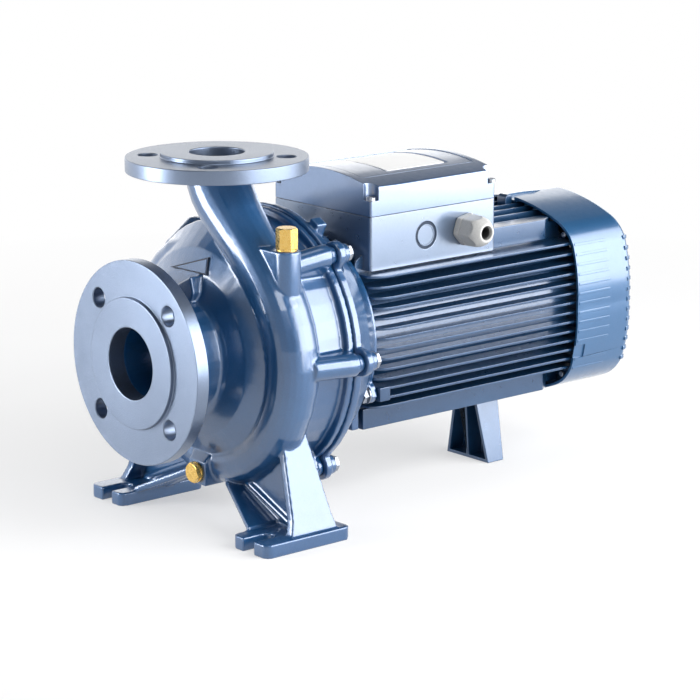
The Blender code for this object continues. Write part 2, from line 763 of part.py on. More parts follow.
def plugs(surface):
    collar_r = PLUG_FLATS * 0.56
    top = PRIMING_BOSS_TOP + GAP
    place = Vector((PRIMING_X, PRIMING_Y, top))
    up = Vector((0, 0, 1))
    priming = hexagon("plug", place, place + PRIMING_HEAD * up, PLUG_FLATS)
    stem = rod("stem", place - 0.018 * up, place + 0.002 * up, PLUG_THREAD_R)
    combine(priming, "UNION", stem)
    finish(priming, "priming_plug", surface)
    face = DRAIN_FACE_X - GAP
    drain = hexagon("plug", (face, 0, DRAIN_HEIGHT), (face - DRAIN_HEAD, 0, DRAIN_HEIGHT), PLUG_FLATS)
    stem = rod("stem", (face - 0.002, 0, DRAIN_HEIGHT), (face + 0.016, 0, DRAIN_HEIGHT), PLUG_THREAD_R)
    collar = rod("collar", (face - 0.002, 0, DRAIN_HEIGHT), (face, 0, DRAIN_HEIGHT), collar_r, TUBE_STEPS)
    combine(drain, "UNION", collar, stem)
    finish(drain, "drain_plug", surface)


def impeller(surface):
    """A closed impeller: two shrouds and a hub, with vanes that sweep back from the eye."""
    eye_end = EYE_START_X + EYE_RING_LENGTH
    rim_x = IMPELLER_BACK_X - SHROUD - OUTLET_WIDTH
    eye_wall = 0.0045
    middle_x = blend(eye_end, rim_x - SHROUD, 0.5)
    middle_r = blend(EYE_RING_R, IMPELLER_R, 0.45)

    def front(depth):
        """The front shroud at a share of its thickness, from its outer face to the passage's wall."""
        return [(eye_end, EYE_RING_R - eye_wall * depth), (middle_x + SHROUD * depth, middle_r),
                (rim_x - SHROUD * (1 - depth), IMPELLER_R)]

    body = turned("impeller", [
        (EYE_START_X, EYE_RING_R),
        *front(0.0),
        (IMPELLER_BACK_X, IMPELLER_R),
        (IMPELLER_BACK_X, HUB_R),
        (HUB_END_X, HUB_R),
    ], bore_r=SHAFT_END_R + GAP)
    passage = turned("passage", [
        (EYE_START_X - 0.002, EYE_RING_R - eye_wall),
        *front(1.0),
        (rim_x, IMPELLER_R + 0.003),
        (IMPELLER_BACK_X - SHROUD, IMPELLER_R + 0.003),
        (IMPELLER_BACK_X - SHROUD, HUB_R + 0.012),
        (IMPELLER_BACK_X - 0.012, HUB_R),
        (eye_end + IMPELLER_NOSE_DEPTH, HUB_R - 0.001),
    ])
    vanes = []
    inner_r = EYE_RING_R - eye_wall - 0.003
    outer_r = IMPELLER_R - 0.0010
    steps = 10
    for i in range(VANES):
        rings = []
        for k in range(steps + 1):
            share = k / steps
            turn = 360.0 * i / VANES + VANE_SWEEP_DEG * share
            here = around(turn, blend(inner_r, outer_r, share))
            ahead = around(turn + 1.0, blend(inner_r, outer_r, share + 1.0 / VANE_SWEEP_DEG))
            across = (ahead - here).cross(Vector((1, 0, 0))).normalized() * VANE_THICK / 2
            low = Vector((eye_end - 0.006, 0, 0))
            high = Vector((IMPELLER_BACK_X, 0, 0))
            rings.append([here + low - across, here + high - across, here + high + across, here + low + across])
        vanes.append(loft("vane", rings))
    combine(passage, "DIFFERENCE", joined("vanes", vanes))
    combine(body, "DIFFERENCE", passage)
    return finish(body, "impeller", surface)


def shaft(surface):
    """The motor's shaft: it carries the impeller in front and the cooling fan behind."""
    profile = [
        (SHAFT_START_X, SHAFT_END_R),
        (HUB_END_X + GAP, SHAFT_END_R),
        (HUB_END_X + GAP, SHAFT_R),
        (MOTOR_END_X + 0.004, SHAFT_R),
        (MOTOR_END_X + 0.004, SHAFT_END_R),
        (FAN_START_X + FAN_LENGTH + 0.002, SHAFT_END_R),
    ]
    return finish(turned("shaft", profile, TUBE_STEPS), "shaft", surface)


def impeller_nut(surface):
    """The domed nut on the shaft's end, in front of the impeller's hub."""
    back = EYE_START_X + EYE_RING_LENGTH + IMPELLER_NOSE_DEPTH - GAP
    front = SHAFT_START_X - NUT_CAP
    nut = hexagon("nut", (front, 0, SHAFT_HEIGHT), (back, 0, SHAFT_HEIGHT), NUT_FLATS)
    dome = turned("dome", [
        (front - 0.005, NUT_FLATS * 0.20),
        (front - 0.003, NUT_FLATS * 0.36),
        (front + 0.001, NUT_FLATS * 0.47),
    ], TUBE_STEPS)
    bore = rod("bore", (SHAFT_START_X - GAP, 0, SHAFT_HEIGHT), (back + 0.002, 0, SHAFT_HEIGHT),
               SHAFT_END_R + GAP, TUBE_STEPS)
    combine(nut, "UNION", dome)
    combine(nut, "DIFFERENCE", bore)
    return finish(nut, "impeller_nut", surface)


def bracket_ears():
    """Two ears that the motor's bolts pull on, and the corner blocks in front of the motor's lower panels."""
    pieces = []
    end_x = MOTOR_START_X - GAP
    for side in (-1, 1):
        inner = Vector((0, side * 0.060, SHAFT_HEIGHT - 0.030))
        bolt = Vector((0, side * MOTOR_BOLT_Y, MOTOR_BOLT_Z))
        across = (bolt - inner).cross(Vector((1, 0, 0))).normalized() * MOTOR_EAR_R
        along = (bolt - inner).normalized() * MOTOR_EAR_R
        outline = [inner - across, inner + across, bolt + across, bolt + across * 0.4 + along * 0.8,
                   bolt - across * 0.4 + along * 0.8, bolt - across]
        pieces.append(loft("ear", [shifted(outline, Vector((x, 0, 0))) for x in (MOTOR_BOLT_SEAT_X, end_x)]))
        low_y, high_y = sorted((side * (PANEL_HALF_WIDTH - 0.020), side * (PANEL_HALF_WIDTH - 0.001)))
        pieces.append(block("corner_block", (end_x - 0.009, low_y, SHAFT_HEIGHT - BOTTOM_DEPTH + 0.001),
                            (end_x, high_y, SHAFT_HEIGHT - BOTTOM_DEPTH + PANEL_HEIGHT + 0.001)))
    return pieces


def bracket_tab():
    """The small upright tab on the near side of the bracket's top, behind the joint."""
    angle = 27.0
    half = outward(angle).cross(Vector((1, 0, 0))) * 0.006
    low = around(angle, 0.108, JOINT_X + 0.007)
    high = around(angle, 0.131, JOINT_X + 0.007)
    outline = [low - half, low + half, high + half, high - half]
    return loft("tab", [outline, shifted(outline, Vector((0.012, 0, 0)))])


def motor_bolt_holes(start_x, end_x, radius=MOTOR_BOLT_R + GAP):
    holes = []
    for side in (-1, 1):
        y = side * MOTOR_BOLT_Y
        holes.append(rod("hole", (start_x, y, MOTOR_BOLT_Z), (end_x, y, MOTOR_BOLT_Z), radius))
    return joined("motor_bolt_holes", holes)


def motor_bolts(surface):
    for side, name in ((-1, "motor_bolt_near"), (1, "motor_bolt_far")):
        seat = Vector((MOTOR_BOLT_SEAT_X - GAP, side * MOTOR_BOLT_Y, MOTOR_BOLT_Z))
        bolt = hexagon("bolt", seat, seat - Vector((MOTOR_BOLT_HEAD, 0, 0)), BOLT_HEAD_FLATS)
        end = MOTOR_START_X + TIE_BOSS_LENGTH - 0.004
        shank = rod("shank", seat - Vector((0.002, 0, 0)), Vector((end, seat.y, seat.z)), MOTOR_BOLT_R)
        combine(bolt, "UNION", shank)
        finish(bolt, name, surface)


def motor_bracket(surface):
    """The bracket that closes the casing's back and carries the motor."""
    face_x = JOINT_X + GAP
    profile = [
        (JOINT_X - SPIGOT_LENGTH, SPIGOT_R),
        (face_x, SPIGOT_R),
        (face_x, BRACKET_R),
        (face_x + BRACKET_RIM, BRACKET_R),
        (face_x + BRACKET_RIM, BRACKET_R - 0.004),
        (blend(face_x + BRACKET_RIM, MOTOR_START_X, 0.5), blend(BRACKET_R - 0.004, BRACKET_END_R, 0.45)),
        (MOTOR_START_X - 0.004, BRACKET_END_R),
        (MOTOR_START_X - GAP, BRACKET_END_R),
    ]
    bracket = turned("bracket", profile)
    for angle in LUG_ANGLES_DEG:
        stations = [(face_x, BOLT_CIRCLE_R), (face_x + BRACKET_LUG_THICK, BOLT_CIRCLE_R)]
        combine(bracket, "UNION", lug("lug", angle, stations, BRACKET_LUG_WIDTH))
    combine(bracket, "UNION", *bracket_ears(), bracket_tab())
    bore = rod("bore", (JOINT_X - SPIGOT_LENGTH - 0.002, 0, SHAFT_HEIGHT),
               (MOTOR_START_X + 0.002, 0, SHAFT_HEIGHT), SHAFT_R + GAP, TUBE_STEPS)
    combine(bracket, "DIFFERENCE", bolt_holes(JOINT_X - 0.002, face_x + BRACKET_LUG_THICK + 0.002), bore,
            motor_bolt_holes(MOTOR_BOLT_SEAT_X - 0.002, MOTOR_START_X + 0.002),
            motor_bolt_holes(MOTOR_BOLT_SEAT_X - SPOT_FACE_DEPTH, MOTOR_BOLT_SEAT_X, SPOT_FACE_R))
    return finish(bracket, "motor_bracket", surface)


def casing_bolts(surface):
    seat_x = JOINT_X + GAP + BRACKET_LUG_THICK + GAP
    for number, angle in enumerate(LUG_ANGLES_DEG, 1):
        head = hexagon("bolt", around(angle, BOLT_CIRCLE_R, seat_x),
                       around(angle, BOLT_CIRCLE_R, seat_x + BOLT_HEAD_THICK), BOLT_HEAD_FLATS)
        shank = rod("shank", around(angle, BOLT_CIRCLE_R, seat_x - BOLT_LENGTH),
                    around(angle, BOLT_CIRCLE_R, seat_x + 0.002), BOLT_R)
        combine(head, "UNION", shank)
        finish(head, f"casing_bolt_{number}", surface)


def arc_through(first, middle, last, steps):
    """Points on the circle through three (y, z) points, from the first up to, not including, the last."""
    (ax, ay), (bx, by), (cx, cy) = first, middle, last
    aa = ax * ax + ay * ay
    bb = bx * bx + by * by
    cc = cx * cx + cy * cy
    d = 2 * (ax * (by - cy) + bx * (cy - ay) + cx * (ay - by))
    ux = (aa * (by - cy) + bb * (cy - ay) + cc * (ay - by)) / d
    uy = (aa * (cx - bx) + bb * (ax - cx) + cc * (bx - ax)) / d
    radius = math.hypot(ax - ux, ay - uy)
    start = math.atan2(ay - uy, ax - ux)
    end = math.atan2(cy - uy, cx - ux)
    if end - start > math.pi:
        end -= 2 * math.pi
    if start - end > math.pi:
        end += 2 * math.pi
    points = []
    for i in range(steps):
        turn = blend(start, end, i / steps)
        points.append((ux + radius * math.cos(turn), uy + radius * math.sin(turn)))
    return points


def motor_section(half_width, half_height):
    """The motor's outline across the shaft: bowed sides, top and bottom, and slanting corners."""
    corner_side = (0.925 * half_width, 0.615 * half_height)
    corner_mid = (0.843 * half_width, 0.738 * half_height)
    corner_top = (0.722 * half_width, 0.826 * half_height)
    side = arc_through((half_width, 0.0), (0.984 * half_width, 0.36 * half_height), corner_side, 4)
    corner = arc_through(corner_side, corner_mid, corner_top, 4)
    top = arc_through(corner_top, (0.40 * half_width, 0.938 * half_height), (0.0, half_height), 5)
    quarter = side + corner + top + [(0.0, half_height)]
    right = quarter + [(y, -z) for y, z in reversed(quarter[1:])]
    outline = []
    for y, z in right[:len(quarter)]:
        outline.append((y, z))
    for y, z in reversed(quarter[:-1]):
        outline.append((-y, z))
    for y, z in quarter[1:]:
        outline.append((-y, -z))
    for y, z in reversed(quarter[1:-1]):
        outline.append((y, -z))
    return outline


def section_ring(x, half_width, half_height):
    return [Vector((x, y, SHAFT_HEIGHT + z)) for y, z in motor_section(half_width, half_height)]


def section_loft(name, stations):
    """A solid with the motor's outline at each (x, half width, half height)."""
    return loft(name, [section_ring(*station) for station in stations])


def motor_fins():
    """Level fins on both sides, upright fins on the top and the bottom, trimmed to the motor's outline."""
    reach = MOTOR_HALF_WIDTH + 0.005
    start = MOTOR_START_X + 0.001
    end = COVER_START_X + 0.012
    level = []
    for i in range(SIDE_FINS):
        z = SHAFT_HEIGHT + (i - (SIDE_FINS - 1) / 2) * SIDE_FIN_PITCH
        level.append(block("fin", (start, -reach, z - FIN_THICK / 2), (end, reach, z + FIN_THICK / 2)))
    fins = joined("level_fins", level)
    upright = []
    for i in range(2 * TOP_FINS_PER_SIDE):
        side = -1 if i % 2 else 1
        y = side * (TOP_FIN_FIRST + (i // 2) * TOP_FIN_PITCH)
        low = y - FIN_THICK / 2
        high = y + FIN_THICK / 2
        root = MOTOR_CORE_R * 0.6
        upright.append(block("fin", (start, low, SHAFT_HEIGHT + root), (end, high, SHAFT_HEIGHT + reach)))
        upright.append(block("fin", (start, low, SHAFT_HEIGHT - BOTTOM_DEPTH), (end, high, SHAFT_HEIGHT - root)))
    ups = joined("upright_fins", upright)
    envelope = [
        (MOTOR_START_X + 0.0005, 0.90 * MOTOR_HALF_WIDTH, 0.90 * MOTOR_HALF_HEIGHT),
        (MOTOR_START_X + 0.005, 0.95 * MOTOR_HALF_WIDTH, 0.95 * MOTOR_HALF_HEIGHT),
        (MOTOR_START_X + 0.016, MOTOR_HALF_WIDTH, MOTOR_HALF_HEIGHT),
        (end + 0.002, MOTOR_HALF_WIDTH, MOTOR_HALF_HEIGHT),
    ]
    combine(fins, "INTERSECT", section_loft("envelope", envelope))
    combine(ups, "INTERSECT", section_loft("envelope", envelope))
    return fins, ups


def corner_panels():
    """The flat upright panels at the four long corners, where the level and upright fins meet."""
    panels = []
    inner = PANEL_HALF_WIDTH - 0.016
    start = MOTOR_START_X + 0.0035
    for side in (-1, 1):
        for low, high in ((PANEL_TOP - PANEL_HEIGHT, PANEL_TOP), (-BOTTOM_DEPTH, PANEL_HEIGHT - BOTTOM_DEPTH)):
            rings = []
            for x, shrink in ((start, 0.0), (PANEL_END_X, 0.0), (PANEL_END_X + PANEL_TAPER, 0.008)):
                y_out = side * (PANEL_HALF_WIDTH - shrink)
                y_in = side * inner
                z_low = SHAFT_HEIGHT + low
                z_high = SHAFT_HEIGHT + high
                rings.append([Vector((x, y_in, z_low)), Vector((x, y_out, z_low)),
                              Vector((x, y_out, z_high)), Vector((x, y_in, z_high))])
            panels.append(loft("panel", rings))
    return joined("panels", panels)


def tie_bosses():
    """Square bosses at the motor's lower front corners that take the bracket's bolts."""
    bosses = []
    for side in (-1, 1):
        low_y, high_y = sorted((side * 0.066, side * TIE_BOSS_REACH))
        bosses.append(block("tie_boss", (MOTOR_START_X + 0.0004, low_y, MOTOR_BOLT_Z - TIE_BOSS_HEIGHT / 2),
                            (MOTOR_START_X + TIE_BOSS_LENGTH, high_y, MOTOR_BOLT_Z + TIE_BOSS_HEIGHT / 2)))
    return bosses


def cover_seats():
    """Four pads at the motor's rear corners that carry the fan cover."""
    pads = []
    length = 0.012
    for side_y in (-1, 1):
        for side_z in (-1, 1):
            inner = Vector((0, side_y * 0.045, SHAFT_HEIGHT + side_z * 0.045))
            outer = Vector((0, side_y * 0.105, SHAFT_HEIGHT + side_z * 0.100))
            across = (outer - inner).cross(Vector((1, 0, 0))).normalized() * COVER_SEAT_WIDTH / 2
            outline = [inner - across, inner + across, outer + across, outer - across]
            rings = [shifted(outline, Vector((COVER_START_X + x, 0, 0))) for x in (0.002, 0.002 + length)]
            pads.append(loft("pad", rings))
    seats = joined("seats", pads)
    inset = COVER_WALL + GAP
    limit = section_loft("limit", [(x, COVER_HALF_WIDTH - inset, COVER_HALF_HEIGHT - inset)
                                   for x in (COVER_START_X, COVER_START_X + 2 * length)])
    return combine(seats, "INTERSECT", limit)


def motor_housing(surface):
    core = turned("motor", [
        (MOTOR_START_X, MOTOR_CORE_R - 0.002),
        (MOTOR_START_X + 0.003, MOTOR_CORE_R),
        (COVER_START_X + 0.020, MOTOR_CORE_R),
        (MOTOR_END_X, MOTOR_CORE_R - 0.012),
    ])
    fins, ups = motor_fins()
    combine(core, "UNION", fins, ups, corner_panels(), cover_seats(), *tie_bosses())
    pad = block("pad", (SUPPORT_X - SUPPORT_LEAN - 0.004, -SUPPORT_TOP_HALF_WIDTH - 0.006,
                        SHAFT_HEIGHT - BOTTOM_DEPTH - 0.003),
                (SUPPORT_X + SUPPORT_LENGTH + SUPPORT_LEAN + 0.004, SUPPORT_TOP_HALF_WIDTH + 0.006,
                 SHAFT_HEIGHT - MOTOR_CORE_R * 0.8))
    half = TOP_LUG_HALF_WIDTH + 0.002
    lug_seat = block("lug_seat", (TOP_LUG_X - 0.004, -half, SHAFT_HEIGHT + MOTOR_CORE_R * 0.8),
                     (COVER_START_X + 0.010, half, SHAFT_HEIGHT + MOTOR_HALF_HEIGHT - 0.004))
    combine(core, "UNION", pad, lug_seat)
    seat = block("seat", (BOX_START_X - 0.0005, -BOX_HALF_WIDTH - 0.02, BOX_BOTTOM - GAP),
                 (BOX_START_X + BOX_LENGTH + 0.0005, BOX_HALF_WIDTH + 0.02, DISCHARGE_TOP))
    saddle = rod("saddle", (BOX_START_X - 0.002, 0, SHAFT_HEIGHT),
                 (BOX_START_X + BOX_LENGTH + 0.002, 0, SHAFT_HEIGHT), BOX_SEAT_R - GAP, ROUND_STEPS)
    combine(seat, "DIFFERENCE", saddle)
    combine(core, "DIFFERENCE", seat)
    bore = rod("bore", (MOTOR_START_X - 0.002, 0, SHAFT_HEIGHT), (MOTOR_END_X + 0.002, 0, SHAFT_HEIGHT),
               SHAFT_R + GAP, TUBE_STEPS)
    hole_end_x = MOTOR_START_X + TIE_BOSS_LENGTH - 0.003
    combine(core, "DIFFERENCE", bore, motor_bolt_holes(MOTOR_START_X - 0.002, hole_end_x))
    return finish(core, "motor_housing", surface)


def terminal_box(base_surface, lid_surface, screw_surface):
    end_x = BOX_START_X + BOX_LENGTH
    base = block("base", (BOX_START_X, -BOX_HALF_WIDTH, BOX_BOTTOM), (end_x, BOX_HALF_WIDTH, BOX_SEAM))
    saddle = rod("saddle", (BOX_START_X - 0.002, 0, SHAFT_HEIGHT), (end_x + 0.002, 0, SHAFT_HEIGHT),
                 BOX_SEAT_R, ROUND_STEPS)
    combine(base, "DIFFERENCE", saddle)
    near = -BOX_HALF_WIDTH
    entry = rod("entry", (GLAND_X, near - 0.002, ENTRY_HEIGHT), (GLAND_X, near + 0.010, ENTRY_HEIGHT),
                GLAND_HOLE_R + 0.003 + GAP)
    pocket = rod("pocket", (KNOCKOUT_X, near - 0.002, ENTRY_HEIGHT),
                 (KNOCKOUT_X, near + KNOCKOUT_DEPTH, ENTRY_HEIGHT), KNOCKOUT_R, TUBE_STEPS)
    combine(base, "DIFFERENCE", entry, pocket)
    finish(base, "terminal_box_base", base_surface)

    disc = rod("disc", (KNOCKOUT_X, near + 0.0003, ENTRY_HEIGHT),
               (KNOCKOUT_X, near + KNOCKOUT_DEPTH - GAP, ENTRY_HEIGHT), KNOCKOUT_DISC_R, TUBE_STEPS)
    finish(disc, "knockout_disc", base_surface)

    bevel = 0.002
    lid_low = BOX_SEAM + GAP
    crown = arc_through((BOX_HALF_WIDTH - bevel, LID_EDGE + bevel), (0.0, LID_CROWN),
                        (-BOX_HALF_WIDTH + bevel, LID_EDGE + bevel), 12)
    outline = [(-BOX_HALF_WIDTH, lid_low), (BOX_HALF_WIDTH, lid_low), (BOX_HALF_WIDTH, LID_EDGE), *crown,
               (-BOX_HALF_WIDTH + bevel, LID_EDGE + bevel), (-BOX_HALF_WIDTH, LID_EDGE)]
    lid = loft("lid", [[Vector((x, y, z)) for y, z in outline] for x in (BOX_START_X, end_x)])
    inset = 0.003
    screws = []
    for x in (BOX_START_X + inset, end_x - inset):
        for y in (-BOX_HALF_WIDTH + inset, BOX_HALF_WIDTH - inset):
            notch = rod("notch", (x, y, LID_NOTCH_HEIGHT), (x, y, LID_CROWN + 0.005), LID_NOTCH_R, TUBE_STEPS)
            combine(lid, "DIFFERENCE", notch)
            low = LID_NOTCH_HEIGHT + GAP
            screws.append(rod("screw", (x, y, low), (x, y, low + LID_SCREW_HEAD), LID_SCREW_R))
    finish(lid, "terminal_box_lid", lid_surface)
    for number, screw in enumerate(screws, 1):
        finish(screw, f"lid_screw_{number}", screw_surface)


def cable_gland(surface, rubber):
    """Hex body, domed cap nut and the rubber seal inside it, pointing to the near side."""
    near = -BOX_HALF_WIDTH - GAP

    def place(y):
        return Vector((GLAND_X, y, ENTRY_HEIGHT))

    body = hexagon("gland", place(near), place(near - GLAND_NUT), GLAND_FLATS)
    stem = rod("stem", place(near - 0.002), place(near + 0.008), GLAND_HOLE_R + 0.003)
    combine(body, "UNION", stem)
    hole = rod("hole", place(near - GLAND_NUT - 0.002), place(near + 0.012), SEAL_BORE_R)
    combine(body, "DIFFERENCE", hole)
    finish(body, "gland_body", surface)

    start = near - GLAND_NUT - GAP
    tip = -BOX_HALF_WIDTH - GLAND_LENGTH
    across = Vector((1, 0, 0))
    up = Vector((0, 0, 1))
    levels = [(start, GLAND_CAP_R * 0.97), (start - 0.0008, GLAND_CAP_R), (blend(start, tip, 0.55), GLAND_CAP_R),
              (blend(start, tip, 0.80), GLAND_CAP_R * 0.86), (blend(start, tip, 0.95), GLAND_CAP_R * 0.70),
              (tip, GLAND_CAP_R * 0.60)]
    cap = loft("cap", [circle_points(place(y), across, up, r, TUBE_STEPS) for y, r in levels])
    combine(cap, "INTERSECT", hexagon("cap_flats", place(start + 0.002), place(tip - 0.002), GLAND_CAP_FLATS))
    combine(cap, "DIFFERENCE", rod("hole", place(start + 0.002), place(tip - 0.002), GLAND_HOLE_R))
    finish(cap, "gland_cap", surface)

    seal = rod("seal", place(start - GAP), place(tip + 0.004), GLAND_HOLE_R - GAP)
    combine(seal, "DIFFERENCE", rod("hole", place(start + 0.002), place(tip - 0.002), SEAL_BORE_R))
    finish(seal, "gland_seal", rubber)


def cover_recess():
    """The tapering recess in the top of the fan cover, behind the motor's lug, and the pad under it."""
    top = SHAFT_HEIGHT + COVER_HALF_HEIGHT
    floor = top - RECESS_DEPTH
    pad = block("pad", (COVER_START_X, -RECESS_HALF_WIDTH - 0.003, floor - 0.0015),
                (COVER_START_X + RECESS_LENGTH, RECESS_HALF_WIDTH + 0.003, top - COVER_WALL / 2))
    start = COVER_START_X - 0.002
    end = COVER_START_X + RECESS_LENGTH
    outline = [(start, floor), (end, top + 0.0005), (end, top + 0.004), (start, top + 0.004)]
    recess = loft("recess", [[Vector((x, y, z)) for x, z in outline]
                             for y in (-RECESS_HALF_WIDTH, RECESS_HALF_WIDTH)])
    return pad, recess


def cover_latches():
    """A square latch plate low on each side of the fan cover."""
    plates = []
    for side in (-1, 1):
        z = SHAFT_HEIGHT - 0.044
        low_y, high_y = sorted((side * (COVER_HALF_WIDTH - 0.006), side * (COVER_HALF_WIDTH - 0.0015)))
        plates.append(block("latch", (COVER_START_X + 0.001, low_y, z - LATCH_SIZE / 2),
                            (COVER_START_X + 0.001 + LATCH_SIZE, high_y, z + LATCH_SIZE / 2)))
    return plates


def fan_cover(surface):
    """A thin hood over the motor's end, with level ribs and slots across its rear."""
    edge = COVER_EDGE

    def stations(shrink, rear, front):
        width = COVER_HALF_WIDTH - shrink
        height = COVER_HALF_HEIGHT - shrink
        return [(front, width, height), (rear - edge, width, height),
                (rear - edge * 0.35, width - edge * 0.28, height - edge * 0.28),
                (rear, width - edge, height - edge)]

    cover = section_loft("cover", stations(0.0, COVER_REAR_X, COVER_START_X))
    hollow = section_loft("hollow", stations(COVER_WALL, COVER_REAR_X - COVER_WALL, COVER_START_X - 0.002))
    ribs = []
    slots = []
    reach = COVER_HALF_WIDTH + 0.01
    for i in range(GRILLE_RIBS):
        z = SHAFT_HEIGHT + (i - (GRILLE_RIBS - 1) / 2) * GRILLE_PITCH
        ribs.append(block("rib", (COVER_REAR_X - edge, -reach, z - GRILLE_RIB_THICK / 2),
                          (PUMP_LENGTH + 0.002, reach, z + GRILLE_RIB_THICK / 2)))
    for i in range(GRILLE_RIBS - 1):
        z = SHAFT_HEIGHT + (i - (GRILLE_RIBS - 2) / 2) * GRILLE_PITCH
        half = math.sqrt(max(FAN_R ** 2 - (z - SHAFT_HEIGHT) ** 2, 0.0))
        height = (GRILLE_PITCH - GRILLE_RIB_THICK) / 2 - 0.0004
        for side in (-1, 1):
            ends = sorted((side * 0.004, side * half))
            slots.append(block("slot", (COVER_REAR_X - 0.012, ends[0], z - height),
                               (PUMP_LENGTH + 0.002, ends[1], z + height)))
    bars = joined("bars", ribs)
    envelope = section_loft("envelope", stations(-GRILLE_RIB_RISE, PUMP_LENGTH, COVER_REAR_X - 0.03))
    combine(bars, "INTERSECT", envelope)
    combine(cover, "UNION", bars)
    combine(cover, "DIFFERENCE", hollow, joined("slots", slots))
    pad, recess = cover_recess()
    combine(cover, "UNION", pad, *cover_latches())
    combine(cover, "DIFFERENCE", recess)
    return finish(cover, "fan_cover", surface)


def cooling_fan(surface):
    end = FAN_START_X + FAN_LENGTH
    fan = turned("fan", [
        (FAN_START_X, FAN_R - 0.004),
        (FAN_START_X + FAN_DISC, FAN_R - 0.004),
        (FAN_START_X + FAN_DISC, FAN_HUB_R),
        (end, FAN_HUB_R),
    ])
    blades = []
    for i in range(FAN_BLADES):
        angle = 360.0 * i / FAN_BLADES
        side = outward(angle).cross(Vector((1, 0, 0))) * FAN_BLADE_THICK / 2
        root = around(angle, FAN_HUB_R - 0.002)
        tip = around(angle, FAN_R)
        outline = [root - side, root + side, tip + side, tip - side]
        rings = [shifted(outline, Vector((x, 0, 0))) for x in (FAN_START_X + FAN_DISC / 2, end - 0.001)]
        blades.append(loft("blade", rings))
    combine(fan, "UNION", joined("blades", blades))
    bore = rod("bore", (FAN_START_X - 0.002, 0, SHAFT_HEIGHT), (end + 0.002, 0, SHAFT_HEIGHT),
               SHAFT_END_R + GAP, TUBE_STEPS)
    combine(fan, "DIFFERENCE", bore)
    return finish(fan, "cooling_fan", surface)


def cover_lug(surface):
    """The round-topped lug on the motor, just ahead of the fan cover."""
    low = SHAFT_HEIGHT + MOTOR_HALF_HEIGHT - 0.004 + GAP
    radius = TOP_LUG_LENGTH / 2
    middle_x = TOP_LUG_X + radius
    outline = [(TOP_LUG_X, low), (TOP_LUG_X + TOP_LUG_LENGTH, low)]
    for i in range(9):
        turn = math.pi * i / 8
        outline.append((middle_x + radius * math.cos(turn), TOP_LUG_TOP - radius + radius * math.sin(turn)))
    rings = [[Vector((x, y, z)) for x, z in outline] for y in (-TOP_LUG_HALF_WIDTH, TOP_LUG_HALF_WIDTH)]
    return finish(loft("lug", rings), "cover_lug", surface)


def support_foot(surface):
    """The pressed foot under the motor: a tapering box, open to the front, with a web in its middle."""
    top = SHAFT_HEIGHT - BOTTOM_DEPTH - 0.003 - GAP

    def ring(z, half_width, start, end):
        return [Vector((start, -half_width, z)), Vector((end, -half_width, z)),
                Vector((end, half_width, z)), Vector((start, half_width, z))]

    end = SUPPORT_X + SUPPORT_LENGTH
    body = loft("foot", [
        ring(0.0, SUPPORT_HALF_WIDTH, SUPPORT_X, end),
        ring(top, SUPPORT_TOP_HALF_WIDTH, SUPPORT_X - SUPPORT_LEAN, end + SUPPORT_LEAN),
    ])
    wall = SUPPORT_WALL
    cells = []
    for side in (-1, 1):
        inner = side * wall / 2
        rings = []
        for z in (wall, top - wall):
            share = z / top
            outer = side * (blend(SUPPORT_HALF_WIDTH, SUPPORT_TOP_HALF_WIDTH, share) - wall)
            front = SUPPORT_X - SUPPORT_LEAN - 0.002
            rings.append([Vector((front, inner, z)), Vector((end - wall, inner, z)),
                          Vector((end - wall, outer, z)), Vector((front, outer, z))])
        cells.append(loft("cell", rings))
    combine(body, "DIFFERENCE", joined("cells", cells))
    return finish(body, "support_foot", surface)


def build_pump():
    clear_scene()
    enamel = material("blue_enamel", (0.035, 0.105, 0.235), 0.28, 0.15)
    motor_paint = material("motor_enamel", (0.040, 0.100, 0.205), 0.32, 0.15)
    lid_paint = material("lid_paint", (0.10, 0.17, 0.29), 0.40, 0.10)
    cover_paint = material("cover_paint", (0.045, 0.115, 0.235), 0.36, 0.05)
    brass = material("brass", (0.80, 0.56, 0.16), 0.25, 1.0)
    zinc = material("zinc", (0.62, 0.65, 0.70), 0.30, 1.0)
    steel = material("steel", (0.55, 0.56, 0.58), 0.30, 1.0)
    cast_iron = material("cast_iron", (0.22, 0.22, 0.23), 0.50, 0.8)
    grey_plastic = material("grey_plastic", (0.60, 0.60, 0.58), 0.45, 0.0)
    rubber = material("rubber", (0.03, 0.03, 0.03), 0.80, 0.0)
    dark_plastic = material("dark_plastic", (0.04, 0.04, 0.045), 0.55, 0.0)

    volute_casing(enamel)
    plugs(brass)
    impeller(cast_iron)
    impeller_nut(steel)
    shaft(steel)
    motor_bracket(enamel)
    casing_bolts(zinc)
    motor_bolts(zinc)
    motor_housing(motor_paint)
    support_foot(motor_paint)
    terminal_box(motor_paint, lid_paint, zinc)
    cable_gland(grey_plastic, rubber)
    cover_lug(motor_paint)
    fan_cover(cover_paint)
    cooling_fan(dark_plastic)


build_pump()
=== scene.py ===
# %% [markdown]
# # A close-coupled centrifugal pump
# The real pump is a spiral casting of iron, bolted to a finned electric motor. Its shape was measured and
# packed as a fixed frame, so this lesson starts from those solids and gives them what a photograph shows:
# soft cast corners, turned flange faces, paint, plating and light. A simple way would be to put a colour on
# each solid. The solids are loose triangles with knife edges, though, so most pieces are made again over them.

import math
from functools import partialmethod

import bmesh
import bpy
import numpy as np
from mathutils import Matrix, Vector


